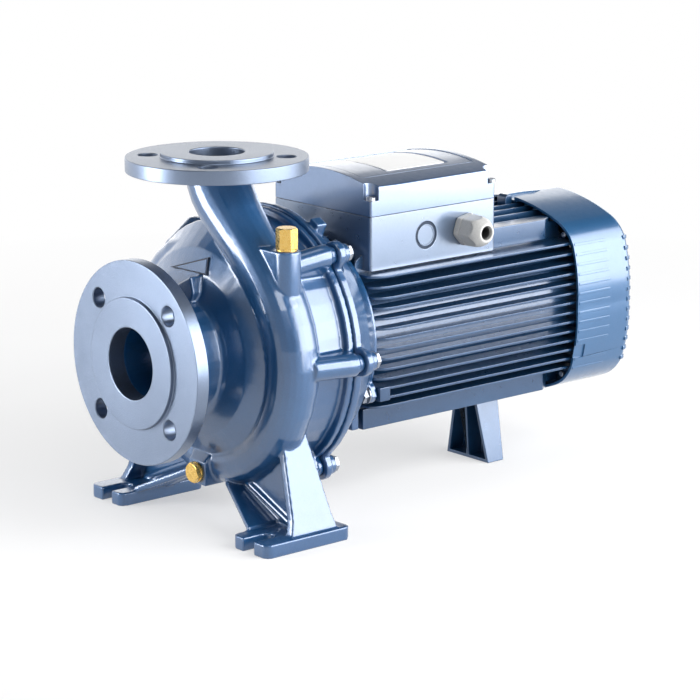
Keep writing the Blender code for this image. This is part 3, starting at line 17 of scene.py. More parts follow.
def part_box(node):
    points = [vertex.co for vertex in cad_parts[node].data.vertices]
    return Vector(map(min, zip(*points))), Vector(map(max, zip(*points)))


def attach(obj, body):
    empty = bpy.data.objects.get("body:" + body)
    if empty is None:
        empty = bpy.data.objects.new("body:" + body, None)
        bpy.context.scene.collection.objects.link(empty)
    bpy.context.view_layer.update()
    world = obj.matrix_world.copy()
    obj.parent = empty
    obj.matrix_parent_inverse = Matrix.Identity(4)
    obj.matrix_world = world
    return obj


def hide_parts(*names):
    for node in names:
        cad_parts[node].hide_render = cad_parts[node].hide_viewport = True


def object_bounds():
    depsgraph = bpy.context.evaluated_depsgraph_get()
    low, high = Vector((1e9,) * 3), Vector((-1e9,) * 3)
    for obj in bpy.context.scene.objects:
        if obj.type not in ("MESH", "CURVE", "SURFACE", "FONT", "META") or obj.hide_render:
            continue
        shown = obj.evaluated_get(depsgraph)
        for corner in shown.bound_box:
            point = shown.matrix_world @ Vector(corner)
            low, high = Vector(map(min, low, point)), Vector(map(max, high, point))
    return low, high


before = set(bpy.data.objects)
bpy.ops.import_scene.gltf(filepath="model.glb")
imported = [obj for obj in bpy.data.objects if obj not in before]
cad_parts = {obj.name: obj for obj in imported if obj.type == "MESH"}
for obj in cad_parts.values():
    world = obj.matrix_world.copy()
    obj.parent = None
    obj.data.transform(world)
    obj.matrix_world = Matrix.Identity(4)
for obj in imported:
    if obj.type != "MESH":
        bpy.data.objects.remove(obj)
cad_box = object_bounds()
print("frame:", len(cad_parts), "nodes, box", [round(v, 4) for v in (*cad_box[0], *cad_box[1])])

# %% [markdown]
# ## Sizes that the finish has to share with the solids
# Every piece sits where the solid is, so the places of the shaft, the flanges and the motor are read from the
# frame's boxes where a box gives them, and are named here where it doesn't.

# %% Places along the shaft
SHAFT_Z = 0.160
SHAFT_LINE = (0, 0, SHAFT_Z)
SUCTION_X = cad_box[0].x
SUCTION_FACE = (SUCTION_X, 0, SHAFT_Z)
DISCHARGE_X = SUCTION_X + 0.100
DISCHARGE_TOP = cad_box[1].z
DISCHARGE_FACE = (DISCHARGE_X, 0, DISCHARGE_TOP)
FACE_RISE = 0.004
FLANGE_BACK = 0.017
CLEARANCE = 0.0003
MOTOR_START, MOTOR_END = (corner.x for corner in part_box("motor_housing"))
COVER_START, COVER_END = (corner.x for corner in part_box("fan_cover"))
BOX_LOW, BOX_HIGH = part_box("terminal_box_base")
LID_LOW, LID_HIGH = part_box("terminal_box_lid")
MOTOR_HALF_WIDTH = 0.093
MOTOR_HALF_HEIGHT = 0.0915
print("suction face at", round(SUCTION_X, 4), "- top flange at", round(DISCHARGE_TOP, 4))

# %% [markdown]
# ## Camera
# The photograph looks at the suction side from a little above, with a long lens, so its edges hardly converge.
# The camera could be set by eye. Here its direction and distance were solved from the flange circles.

# %% Aim the camera
CAMERA_PLACE = Vector((-1.7125, -1.9801, 0.7538))
AZIMUTH, ELEVATION = math.radians(40.636), math.radians(13.383)
LENS, SENSOR_WIDTH = 145.84, 36


def new_object(name, data):
    made = bpy.data.objects.new(name, data)
    bpy.context.scene.collection.objects.link(made)
    return made


lens = bpy.data.cameras.new("camera")
lens.lens = LENS
lens.sensor_width = SENSOR_WIDTH
right = Vector((math.cos(AZIMUTH), -math.sin(AZIMUTH), 0))
back = Vector((-math.sin(AZIMUTH) * math.cos(ELEVATION), -math.cos(AZIMUTH) * math.cos(ELEVATION),
               math.sin(ELEVATION)))
turn = Matrix((right, back.cross(right), back)).transposed().to_4x4()
camera = new_object("camera", lens)
camera.matrix_world = Matrix.Translation(CAMERA_PLACE) @ turn
bpy.context.scene.camera = camera
bpy.context.scene.view_settings.view_transform = "Standard"
print("camera", round((CAMERA_PLACE - Vector(SHAFT_LINE)).length, 3), "m away")

# %% [markdown]
# ## Node trees in plain Python
# Finishes and repeats are both trees of nodes. Linking sockets by hand is hard to read, so a socket is wrapped
# in a small class whose operators add the Math nodes. One method makes every other kind of node, for shaders
# and for Geometry Nodes alike.


# %% Wires and trees
class Wire:
    """An output socket. Arithmetic on it, from either side, adds Math nodes to its tree."""

    def __init__(self, tree, socket):
        self.tree, self.socket = tree, socket

    def maths(self, operation, other):
        return self.tree.node("ShaderNodeMath", {0: self, 1: other}, operation=operation)

    def reflected(self, operation, other):
        """For a number on the left, as in 1 - wire."""
        return self.tree.node("ShaderNodeMath", {0: other, 1: self}, operation=operation)

    __add__, __radd__ = partialmethod(maths, "ADD"), partialmethod(reflected, "ADD")
    __sub__, __rsub__ = partialmethod(maths, "SUBTRACT"), partialmethod(reflected, "SUBTRACT")
    __mul__, __rmul__ = partialmethod(maths, "MULTIPLY"), partialmethod(reflected, "MULTIPLY")
    __truediv__, __rtruediv__ = partialmethod(maths, "DIVIDE"), partialmethod(reflected, "DIVIDE")
    __pow__, __rpow__ = partialmethod(maths, "POWER"), partialmethod(reflected, "POWER")
    __gt__, __lt__ = partialmethod(maths, "GREATER_THAN"), partialmethod(maths, "LESS_THAN")


class Tree:
    """A node tree that is being built."""

    def __init__(self, nodes):
        self.nodes = nodes

    def node(self, kind, inputs=None, output=0, **settings):
        """A node with its settings made first, then its sockets. Gives back one of its outputs."""
        made = self.nodes.nodes.new(kind)
        for name, value in settings.items():
            setattr(made, name, value)
        for name, value in (inputs or {}).items():
            for wire in value if isinstance(value, list) else [value]:
                if isinstance(wire, Wire):
                    self.nodes.links.new(wire.socket, made.inputs[name])
                else:
                    made.inputs[name].default_value = wire
        return Wire(self, made.outputs[output])

    def feed(self, target, **wires):
        """Links wires to the target's sockets, whose names have spaces where these have underscores."""
        for name, wire in wires.items():
            self.nodes.links.new(wire.socket, target.inputs[name.replace("_", " ")])

    def place(self):
        """The surface's own place, in metres."""
        return self.node("ShaderNodeTexCoord", output="Object")

    def xyz(self, **parts):
        return self.node("ShaderNodeCombineXYZ", parts)

    def part(self, wire, index):
        """One number out of a vector's three."""
        return self.node("ShaderNodeSeparateXYZ", {0: wire}, index)

    def vector(self, operation, *inputs, output="Vector"):
        return self.node("ShaderNodeVectorMath", dict(enumerate(inputs)), output, operation=operation)

    def noise(self, scale, detail, roughness=0.5, stretch=None):
        where = self.place()
        if stretch:
            where = self.node("ShaderNodeMapping", {"Vector": where, "Scale": stretch})
        return self.node("ShaderNodeTexNoise", {"Vector": where, "Scale": scale, "Detail": detail,
                                                "Roughness": roughness})

    def between(self, wire, low, high, to_low=0.0, to_high=1.0):
        """Maps a range of the wire's values onto another, held at its ends."""
        return self.node("ShaderNodeMapRange", {"Value": wire, "From Min": low, "From Max": high,
                                                "To Min": to_low, "To Max": to_high}, clamp=True)

    def mottle(self, *noise):
        """A noise whose middle values are spread over the whole range from 0 to 1."""
        return self.between(self.noise(*noise), 0.3, 0.7)

    def mixed(self, share, first, second):
        """A colour between two, which are wires or red, green and blue."""
        first, second = (end if isinstance(end, Wire) else (*end, 1.0) for end in (first, second))
        return self.node("ShaderNodeMix", {0: share, 6: first, 7: second}, 2, data_type="RGBA")

    def bump(self, height, distance):
        return self.node("ShaderNodeBump", {"Height": height, "Distance": distance, "Strength": 1.0})


def new_finish(name, **fixed):
    """An empty material: its tree, its shader and the values that are the same all over."""
    made = bpy.data.materials.new(name)
    made.use_nodes = True
    shader = made.node_tree.nodes["Principled BSDF"]
    for socket, value in fixed.items():
        shader.inputs[socket.replace("_", " ")].default_value = value
    return made, Tree(made.node_tree), shader


print("node helpers ready")

# %% [markdown]
# ## Paint on iron
# The casing is glossy blue enamel over sand-cast iron. The photograph shows pale sheen on what faces the
# light and deep blue in the hollows, which a plain dielectric paint doesn't give. So the colour coat is
# partly metallic, under a hard clear coat. The sand's grain comes through as a faint bump.

# %% Enamel
PATCH_SCALE, SPECK_SCALE, GLOSS_SCALE, GRAIN_SCALE, PEEL_SCALE = 9.0, 700.0, 160.0, 500.0, 1500.0
COAT_ROUGHNESS = 0.17


def enamel(name, deep, pale, metal, rough, grain, peel, coat_ior, coat=1.0):
    """Gloss paint: deep to pale colour in soft patches, cast grain and a finer orange peel under the coat."""
    made, tree, shader = new_finish(name, Metallic=metal, Coat_Weight=coat, Coat_Roughness=COAT_ROUGHNESS,
                                    Coat_IOR=coat_ior)
    patches = tree.between(tree.noise(PATCH_SCALE, 2.0), 0.35, 0.65)
    specks = tree.mottle(SPECK_SCALE, 2.0)
    gloss = tree.between(tree.noise(GLOSS_SCALE, 4.0), 0.3, 0.7, rough - 0.05, rough + 0.07)
    height = tree.noise(GRAIN_SCALE, 4.0, 0.7) * grain + tree.noise(PEEL_SCALE, 2.0) * peel
    tree.feed(shader, Base_Color=tree.mixed(patches * 0.6 + specks * 0.25, deep, pale), Roughness=gloss,
              Normal=tree.bump(height, 0.001))
    return made


CAST_BLUE = enamel("cast_blue", (0.004, 0.052, 0.155), (0.012, 0.086, 0.225), 0.36, 0.33, 0.20, 0.03, 1.80)
MOTOR_BLUE = enamel("motor_blue", (0.005, 0.036, 0.100), (0.014, 0.062, 0.150), 0.42, 0.32, 0.08, 0.02, 1.56)
COVER_BLUE = enamel("cover_blue", (0.007, 0.068, 0.175), (0.017, 0.094, 0.222), 0.28, 0.34, 0.02, 0.02, 1.64)
LID_BLUE = enamel("lid_blue", (0.078, 0.138, 0.258), (0.106, 0.170, 0.300), 0.66, 0.38, 0.04, 0.03, 2.0)
BOX_BLUE = enamel("box_blue", (0.100, 0.148, 0.234), (0.128, 0.180, 0.270), 0.72, 0.32, 0.02, 0.02, 2.0)
# Painted shade: a dull dark blue without a clear coat, for dark pieces that stand where shade falls round the
# arrow and in the knockout's groove.
PAINTED_SHADE_BLUE = enamel("painted_shade_blue", (0.006, 0.018, 0.045), (0.010, 0.026, 0.060), 0.0, 0.60, 0.05, 0.02, 1.5,
                     coat=0.0)
print("enamels:", CAST_BLUE.name, MOTOR_BLUE.name, COVER_BLUE.name, LID_BLUE.name, BOX_BLUE.name)

# %% [markdown]
# ## Metal, plastic and rubber
# The plugs are brass, the bolts are zinc-plated, the gland is moulded plastic and the flange faces are turned
# on a lathe under a thin paint. Each could have one plain colour, but on a real surface tone, gloss and height
# change in the same places, so one noise drives all three. The turned faces also get rings round their axis.


# %% Metal, plastic and rubber
def moulded(name, low, high, rough, scale, height, metal=0.0, detail=0.5, spread=0.05, stretch=None):
    """A plain material with a fine grain, which changes its tone, its gloss and its height together."""
    made, tree, shader = new_finish(name, Metallic=metal)
    tone = tree.mottle(scale, 3.0, detail, stretch)
    gloss = tree.between(tone, 0.0, 1.0, rough - 0.05, rough + spread)
    tree.feed(shader, Base_Color=tree.mixed(tone, low, high), Roughness=gloss, Normal=tree.bump(tone, height))
    return made


def bare_metal(name, low, high, rough, scale, height, metal=1.0, stretch=None):
    return moulded(name, low, high, rough, scale, height, metal, 0.6, 0.08, stretch)


def turned_metal(name, axis, centre):
    """Painted metal with the fine rings a lathe leaves round the shaft's axis or the discharge axis."""
    low, high, rough, pitch = (0.146, 0.190, 0.272), (0.196, 0.244, 0.336), 0.34, 0.0011
    made, tree, shader = new_finish(name, Metallic=0.9, Coat_Weight=0.3, Coat_Roughness=0.2)
    local = tree.vector("ADD", tree.place(), tuple(-v for v in centre))
    flattened = tree.vector("MULTIPLY", local, tuple(0.0 if i == axis else 1.0 for i in range(3)))
    radius = tree.vector("LENGTH", flattened, output="Value")
    wobble = tree.noise(60.0, 2.0) * (pitch * 0.4)
    rings = tree.node("ShaderNodeMath", {0: (radius + wobble) * (2 * math.pi / pitch)}, operation="SINE")
    fine = tree.node("ShaderNodeTexNoise", {"W": radius, "Scale": 2600.0, "Detail": 3.0}, noise_dimensions="1D")
    grit = tree.mottle(900.0, 3.0)
    colour = tree.mixed(tree.mottle(28.0, 3.0) * 0.35 + fine * 0.4 + grit * 0.25, low, high)
    gloss = tree.between(fine, 0.3, 0.7, rough - 0.06, rough + 0.08)
    tree.feed(shader, Base_Color=colour, Roughness=gloss, Normal=tree.bump(rings * 0.15 + fine + grit, 0.00006))
    return made


FACE_SUCTION = turned_metal("turned_suction", 0, SHAFT_LINE)
FACE_DISCHARGE = turned_metal("turned_discharge", 2, (DISCHARGE_X, 0, 0))
BRASS = bare_metal("plug_brass", (0.720, 0.460, 0.125), (0.830, 0.560, 0.180), 0.25, 400.0, 0.00001)
ZINC = bare_metal("zinc_plate", (0.270, 0.300, 0.350), (0.410, 0.440, 0.500), 0.30, 700.0, 0.00002)
STEEL = bare_metal("turned_steel", (0.400, 0.400, 0.410), (0.560, 0.560, 0.580), 0.30, 900.0, 0.00002,
                   stretch=(1, 8, 8))
IRON = bare_metal("cast_iron", (0.080, 0.082, 0.090), (0.150, 0.150, 0.158), 0.55, 500.0, 0.00020)
PLATE = bare_metal("data_plate", (0.800, 0.800, 0.798), (0.850, 0.850, 0.848), 0.40, 500.0, 0.00001, 0.15,
                   (1, 14, 1))
GREY_PLASTIC = moulded("grey_moulding", (0.385, 0.385, 0.376), (0.455, 0.455, 0.446), 0.34, 900.0, 0.00003)
BLACK_PLASTIC = moulded("black_moulding", (0.020, 0.020, 0.022), (0.035, 0.035, 0.038), 0.55, 600.0, 0.00006)
RUBBER = moulded("seal_rubber", (0.012, 0.012, 0.012), (0.024, 0.024, 0.024), 0.75, 800.0, 0.00006)
print("plain materials:", ", ".join(m.name for m in (BRASS, ZINC, STEEL, IRON, PLATE, GREY_PLASTIC, RUBBER)))

# %% [markdown]
# ## Making and finishing a piece
# A few helpers build meshes from outlines, as a workshop would: turn one round an axis, stretch one into a
# prism, take one shape from another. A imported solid's triangles don't share corners, so a copy is merged first.


# %% Meshes from rings and outlines
def piece_from(name, bm):
    mesh = bpy.data.meshes.new(name)
    bm.to_mesh(mesh)
    bm.free()
    return new_object(name, mesh)


def from_rings(name, rings, closed=False):
    """A piece through rings of as many points each, capped flat at both ends or closed on itself."""
    bm = bmesh.new()
    rows = [[bm.verts.new(point) for point in ring] for ring in rings]
    for first, second in zip(rows, rows[1:] + rows[:1] if closed else rows[1:]):
        for i in range(len(first)):
            j = (i + 1) % len(first)
            bm.faces.new((first[i], first[j], second[j], second[i]))
    if not closed:
        bm.faces.new(rows[0])
        bm.faces.new(rows[-1])
    bmesh.ops.recalc_face_normals(bm, faces=bm.faces[:])
    return piece_from(name, bm)


def turned(name, outline, centre, axis=0, steps=96, bored=False):
    """A turned piece from (along, radius) points: an open outline, or a closed one round a bore."""
    along = Vector([1.0 if i == axis else 0.0 for i in range(3)])
    across = Vector((0, 0, 1)) if axis == 1 else Vector((0, 1, 0))
    up = along.cross(across)
    rings = []
    for place, radius in outline:
        middle = Vector(centre) + along * place
        rings.append([middle + radius * (math.cos(turn) * across + math.sin(turn) * up)
                      for turn in (2 * math.pi * i / steps for i in range(steps))])
    return from_rings(name, rings, closed=bored)


def rod(low, high, radius, centre, axis=0, steps=96):
    """A plain cylinder along the axis, from low to high."""
    return turned("rod", [(low, radius), (high, radius)], centre, axis, steps)


def lifted(pair, axis, place):
    """A point from two coordinates and its place along the third axis."""
    return Vector((*pair[:axis], place, *pair[axis:]))


def prism(name, outline, axis, low, high):
    """A straight bar of an outline's two coordinates, along the third axis from low to high."""
    return from_rings(name, [[lifted(pair, axis, place) for pair in outline] for place in (low, high)])


def softened(corners, radius, steps=3):
    """A closed outline with its corners rounded. A third number in a corner is a radius of its own."""
    points = []
    for i, corner in enumerate(corners):
        own = corner[2] if len(corner) > 2 else radius
        here = np.array(corner[:2], float)
        if own == 0:
            points.append(tuple(here.tolist()))
            continue
        before = np.array(corners[i - 1][:2], float) - here
        after = np.array(corners[(i + 1) % len(corners)][:2], float) - here
        start = here + before * min(own / np.linalg.norm(before), 0.45)
        end = here + after * min(own / np.linalg.norm(after), 0.45)
        for k in range(steps + 1):
            share = k / steps
            point = (1 - share) ** 2 * start + 2 * share * (1 - share) * here + share ** 2 * end
            points.append(tuple(point.tolist()))
    return points


def rectangle(low, high, radius=0.0, steps=5):
    """The outline between two opposite corners."""
    return softened([(low[0], low[1]), (high[0], low[1]), (high[0], high[1]), (low[0], high[1])], radius, steps)


def block(name, low, high, radius=0.0, steps=5):
    """An upright block between two opposite corners, with its upright edges rounded to the radius."""
    return prism(name, rectangle(low, high, radius, steps), 2, low[2], high[2])


print("outline helpers ready")

# %% Copies, cuts and edges
FINE_EDGE = 0.0004


def merged_copy(node, name):
    """A new object with a CAD node's shape, its corners joined and its flat faces made whole."""
    bm = bmesh.new()
    bm.from_mesh(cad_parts[node].data)
    bmesh.ops.remove_doubles(bm, verts=bm.verts[:], dist=1e-6)
    bmesh.ops.dissolve_limit(bm, angle_limit=math.radians(0.6), verts=bm.verts[:], edges=bm.edges[:])
    return piece_from(name, bm)


def joined(name, parts):
    """Several shapes kept apart in one mesh."""
    bm = bmesh.new()
    for part in parts:
        bm.from_mesh(part.data)
        bpy.data.objects.remove(part, do_unlink=True)
    return piece_from(name, bm)


def baked(piece):
    """Applies the piece's modifiers."""
    graph = bpy.context.evaluated_depsgraph_get()
    mesh = bpy.data.meshes.new_from_object(piece.evaluated_get(graph))
    piece.modifiers.clear()
    piece.data = mesh
    return piece


def combine(piece, operation, *tools):
    """Cuts, joins or intersects the piece with each tool, which is then thrown away."""
    for tool in tools:
        step = piece.modifiers.new("step", "BOOLEAN")
        step.operation = operation
        step.solver = "EXACT"
        step.object = tool
        baked(piece)
        bpy.data.objects.remove(tool, do_unlink=True)
    return piece


def cut(piece, *tools):
    return combine(piece, "DIFFERENCE", *tools)


def bevelled(piece, width, angle=30.0):
    edge = piece.modifiers.new("edge", "BEVEL")
    edge.width = width
    edge.segments = 2
    edge.limit_method = "ANGLE"
    edge.angle_limit = math.radians(angle)
    edge.use_clamp_overlap = False
    return baked(piece)


def finished(piece, slot, surface, nodes, smooth_deg=35.0, flat_faces=True):
    """Gives the piece its finish and body, and lets it stand for its CAD nodes. The slot is not used."""
    piece.data.materials.clear()
    piece.data.materials.append(surface)
    piece.data.polygons.foreach_set("material_index", [0] * len(piece.data.polygons))
    piece.data.shade_smooth()
    piece.data.set_sharp_from_angle(angle=math.radians(smooth_deg))
    if flat_faces:
        level = piece.modifiers.new("level", "WEIGHTED_NORMAL")
        level.keep_sharp = True
        baked(piece)
    if nodes:
        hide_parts(*nodes)
    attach(piece, "root")
    piece.data.name = piece.name
    print(f"{piece.name}: {len(piece.data.polygons)} faces")
    return piece


print("piece helpers ready")

# %% [markdown]
# ## Castings
# A sand casting has soft outside corners and filled inside ones. Bevelling such a solid edge by edge fails
# where many edges meet. So its copy is remeshed in small voxels and smoothed, which rounds and fills at once.
# The flanges are cut off first, because a lathe leaves them crisp, and so is the raised arrow. The motor's
# bracket is made the same way, once its lugs are turned down to bosses that let the bolts show.

# %% Soft castings
VOXEL = 0.0012
FRONT_WALL = ((0.0696, 0.07625), (0.0800, 0.0945))
ARROW_RADII = (0.0772, 0.0942)
ARROW_START, ARROW_SWEEP, ARROW_STEPS = -16.5, 37.0, 8


def cast_copy(piece, passes, faces):
    """Remeshes and smooths a piece, then thins what is flat."""
    remesh = piece.modifiers.new("voxels", "REMESH")
    remesh.mode = "VOXEL"
    remesh.voxel_size = VOXEL
    smooth = piece.modifiers.new("fillets", "SMOOTH")
    smooth.factor = 0.5
    smooth.iterations = passes
    baked(piece)
    thin = piece.modifiers.new("thin", "DECIMATE")
    thin.ratio = min(1.0, faces / (2 * len(piece.data.polygons)))
    return baked(piece)


def round_shaft(angle_deg, radius, place):
    """The point at this radius from the shaft's line. The angle runs from the top towards the near side."""
    angle = math.radians(angle_deg)
    return Vector((SUCTION_X + place, -radius * math.sin(angle), SHAFT_Z + radius * math.cos(angle)))


def wall_place(radius):
    """How far behind the suction face the casing's front wall is at this radius."""
    (low_x, low_r), (high_x, high_r) = FRONT_WALL
    return low_x + (high_x - low_x) * (radius - low_r) / (high_r - low_r)


def flanges_off(casing):
    """Cuts the flanges down to stubs, which end inside the turned flanges that replace them."""
    behind, inside = FLANGE_BACK + 0.0005, FLANGE_BACK - 0.0005
    cut(casing,
        turned("rim", rectangle((-0.01, 0.058), (behind, 0.12)), SUCTION_FACE, 0, 96, True),
        rod(-0.01, 0.009, 0.13, SUCTION_FACE),
        rod(0.005, inside, 0.0345, SUCTION_FACE),
        turned("top_rim", rectangle((-behind, 0.034), (0.01, 0.11)), DISCHARGE_FACE, 2, 96, True),
        rod(-0.009, 0.01, 0.12, DISCHARGE_FACE, 2),
        rod(-inside, 0.0, 0.0268, DISCHARGE_FACE, 2))


def arrow_off(casing):
    """Cuts away what stands on the front wall where the arrow is."""
    low, high = ARROW_RADII
    rings = []
    for i in range(ARROW_STEPS + 1):
        angle = ARROW_START + ARROW_SWEEP * i / ARROW_STEPS
        rings.append([round_shaft(angle, radius, place) for place, radius in (
            (0.0600, low), (wall_place(low) - 0.0002, low), (wall_place(high) - 0.0002, high), (0.0600, high))])
    cut(casing, from_rings("arrow_cutter", rings))


casing = merged_copy("volute_casing", "casing_cast")
flanges_off(casing)
arrow_off(casing)
cast_copy(casing, 4, 190000)
finished(casing, "blue_enamel", CAST_BLUE, ["volute_casing"], 60.0, False)

# %% The bracket
LUG_ANGLES = (45.0, 90.0, 146.0, -45.0, -90.0, -146.0)
LUG_CIRCLE_R = 0.130
BARREL_REAR = 0.156
LUG_DEPTH = 0.0145
LUG_BACK = BARREL_REAR + CLEARANCE + LUG_DEPTH


def lugs_stepped(bracket):
    """Turns the rear half of every lug down to a boss a little wider than its bolt."""
    ring = [(-0.0070, 0.0092), (-0.0070, 0.0170), (0.0030, 0.0170), (0.0030, 0.0092)]
    places = [round_shaft(angle, LUG_CIRCLE_R, LUG_BACK) for angle in LUG_ANGLES]
    return cut(bracket, *(turned("step", ring, place, 0, 48, True) for place in places))


bracket = cast_copy(lugs_stepped(merged_copy("motor_bracket", "bracket_cast")), 3, 100000)
finished(bracket, "blue_enamel", CAST_BLUE, ["motor_bracket"], 60.0, False)

# %% [markdown]
# ## Turned flanges
# Each flange is an outline turned round its bore, with four holes drilled through it. The edges are broken in
# the outline itself and the holes' mouths are cones, so no bevel has to find them afterwards.

# %% Flanges
HOLE_R, MOUTH_R = 0.0090, 0.0108


def faced(outline, side):
    """A turned outline that runs forwards or backwards along its axis."""
    return [(side * place, radius) for place, radius in outline]


def flange(name, centre, axis, side, bore_r, face_r, rim_r, circle_r, surface):
    """A flange whose raised face lies at the centre. It reaches back along the axis, to one side."""
    outline = softened([(0, bore_r, 0.0012), (0, face_r), (FACE_RISE, face_r, 0.0010), (FACE_RISE, rim_r),
                        (FLANGE_BACK, rim_r), (FLANGE_BACK, bore_r, 0)], 0.0009)
    plate = turned(name, faced(outline, side), centre, axis, 144, True)
    mouth = [(FACE_RISE - 0.001, MOUTH_R), (FACE_RISE + 0.0008, HOLE_R), (FLANGE_BACK - 0.0008, HOLE_R),
             (FLANGE_BACK + 0.001, MOUTH_R)]
    for turn in (math.radians(45 + 90 * i) for i in range(4)):
        offset = lifted((circle_r * math.cos(turn), circle_r * math.sin(turn)), axis, 0.0)
        cut(plate, turned("drill", faced(mouth, side), Vector(centre) + offset, axis, 40))
    return finished(plate, "blue_enamel", surface, ["volute_casing"])


flange("suction_flange", SUCTION_FACE, 0, 1, 0.0325, 0.0595, 0.0925, 0.0725, FACE_SUCTION)
flange("discharge_flange", DISCHARGE_FACE, 2, -1, 0.0250, 0.0510, 0.0825, 0.0625, FACE_DISCHARGE)

# %% [markdown]
# ## The direction arrow
# A raised arrow on the casting's front wall shows which way the pump turns. The casting could carry it, but
# the remesh would round it off. So it is a thin plate of its own, over a wider dark one of painted shade
# that draws the shadow along its edge.

# %% The direction arrow
ARROW_CORNERS = ((-16.6, 0.0785), (10.6, 0.0890), (15.7, 0.0787))


def arrow_plate(name, rise, grow, surface):
    """A flat arrow head on the front wall, which is cast with the casing. It may be grown round its middle."""
    corners = [round_shaft(angle, radius, wall_place(radius)) for angle, radius in ARROW_CORNERS]
    sides = [(corners[i - 1] - corners[i - 2]).length for i in range(3)]
    middle = sum((corner * side for corner, side in zip(corners, sides)), Vector()) / sum(sides)
    corners = [middle + (corner - middle) * grow for corner in corners]
    rings = [[corner + Vector((height, 0, 0)) for corner in corners] for height in (0.0030, -rise)]
    finished(bevelled(from_rings(name, rings), 0.0003), "blue_enamel", surface, ["volute_casing"])


arrow_plate("direction_arrow", 0.0025, 1.0, CAST_BLUE)
# Painted shadow: a wider dark plate under the arrow, standing in for the shade along its raised edge.
arrow_plate("arrow_painted_shadow", 0.0021, 1.22, PAINTED_SHADE_BLUE)

# %% [markdown]
# ## Repeats by rule
# Fins, grille ribs, bolts and ridges repeat. A Python loop could copy them, but a Geometry Nodes tree keeps the
# rule in one place, with its sizes as named inputs. A row of fins has to follow the motor's bowed outline, so
# the first rule draws each copy in by how far it stands from the shaft.


# %% Rules with named sizes
def new_rule(name, **sizes):
    """An empty Geometry Nodes tree with a geometry socket and a named input for each size."""
    nodes = bpy.data.node_groups.new(name, "GeometryNodeTree")
    nodes.interface.new_socket("Geometry", in_out="OUTPUT", socket_type="NodeSocketGeometry")
    for label, kind in {"Geometry": "Geometry", **sizes, "Surface": "Material"}.items():
        nodes.interface.new_socket(label, in_out="INPUT", socket_type="NodeSocket" + kind)
    entry = nodes.nodes.new("NodeGroupInput")
    tree = Tree(nodes)
    return tree, {socket.name: Wire(tree, socket) for socket in entry.outputs if socket.name}


def end_rule(tree, size, places, shape, **how):
    """Puts the shape on every place and ends as the export needs it: real faces with their finish."""
    copies = tree.node("GeometryNodeInstanceOnPoints", {"Points": places, "Instance": shape, **how})
    real = tree.node("GeometryNodeRealizeInstances", {0: copies})
    painted = tree.node("GeometryNodeSetMaterial", {"Geometry": real, "Material": size["Surface"]})
    tree.feed(tree.nodes.nodes.new("NodeGroupOutput"), Geometry=painted)
    return tree.nodes


def follow(piece, rule, **sizes):
    """Runs a rule on a piece with these sizes and keeps the plain mesh it gives."""
    step = piece.modifiers.new("rule", "NODES")
    step.node_group = rule
    for item in rule.interface.items_tree:
        if item.in_out == "INPUT" and item.name in sizes:
            step[item.identifier] = sizes[item.name]
    return baked(piece)


def rows_rule():
    """Copies of the piece in a row, each drawn in across the row as it stands further from the shaft."""
    tree, size = new_rule("rows", Count="Int", Start="Vector", Step="Vector", Centre="Vector", Reach="Float",
                          Narrowing="Float", Power="Float", Across="Vector")
    row = tree.node("GeometryNodeMeshLine", {"Count": size["Count"], "Start Location": size["Start"],
                                             "Offset": size["Step"]}, mode="OFFSET")
    stand = tree.node("GeometryNodeInputPosition")
    away = tree.vector("DISTANCE", stand, size["Centre"], output="Value")
    drawn_in = size["Narrowing"] * (away / size["Reach"]) ** size["Power"]
    shrink = tree.node("ShaderNodeVectorMath", {0: size["Across"], "Scale": drawn_in}, operation="SCALE")
    return end_rule(tree, size, row, size["Geometry"], Scale=tree.vector("SUBTRACT", (1.0, 1.0, 1.0), shrink))


ROWS = rows_rule()
print("rule:", ROWS.name, "with", len(ROWS.interface.items_tree) - 1, "inputs")

# %% [markdown]
# ## The motor
# The housing is one aluminium casting: a barrel with level fins at its sides and upright fins above and below,
# which start with a curved nose behind the bracket. Its corner panels and pads are plain shapes.

# %% Motor barrel
BARREL_R = 0.082
HOUSING = ("motor_enamel", MOTOR_BLUE, ["motor_housing"])

barrel = turned("motor_barrel", [
    (MOTOR_START, 0.0788), (MOTOR_START + 0.0006, 0.0800), (MOTOR_START + 0.0030, BARREL_R),
    (COVER_START + 0.020, BARREL_R), (MOTOR_END - 0.001, 0.0705), (MOTOR_END, 0.0695)], SHAFT_LINE, 0, 128)
finished(barrel, *HOUSING)

# %% Fins
FIN_THICKNESS = 0.0024
FIN_LENGTH = COVER_START + 0.012 - MOTOR_START
FIN_NOSE = [(0.0004, 0.885), (0.0022, 0.925), (0.0060, 0.960), (0.0110, 0.984), (0.0170, 0.997),
            (0.0240, 1.0)]
FIN_ROOT = -0.070
SIDE_FINS, SIDE_PITCH = 14, 0.0094
SIDE_MIDDLE = (SIDE_FINS - 1) / 2
UPRIGHT_FINS, UPRIGHT_FIRST, UPRIGHT_PITCH = 5, 0.009, 0.012
SIDE_BOW = {"Centre": SHAFT_LINE, "Narrowing": 0.305, "Power": 2.886, "Across": (0, 1, 0)}
UPRIGHT_BOW = {"Centre": SHAFT_LINE, "Power": 1.747, "Across": (0, 0, 1), "Surface": MOTOR_BLUE}


def fin(name, axis, low_reach, high_reach):
    """One fin through the barrel, with curved noses, as thick as the casting's mould allows."""
    outline = [(x, high_reach * share) for x, share in FIN_NOSE]
    outline += [(FIN_LENGTH, high_reach), (FIN_LENGTH, -low_reach)]
    outline += [(x, -low_reach * share) for x, share in reversed(FIN_NOSE)]
    plate = prism(name, outline, 3 - axis, -FIN_THICKNESS / 2, FIN_THICKNESS / 2)
    plate.data.transform(Matrix.Translation((MOTOR_START, 0, 0)))
    return bevelled(plate, FINE_EDGE, 40.0)


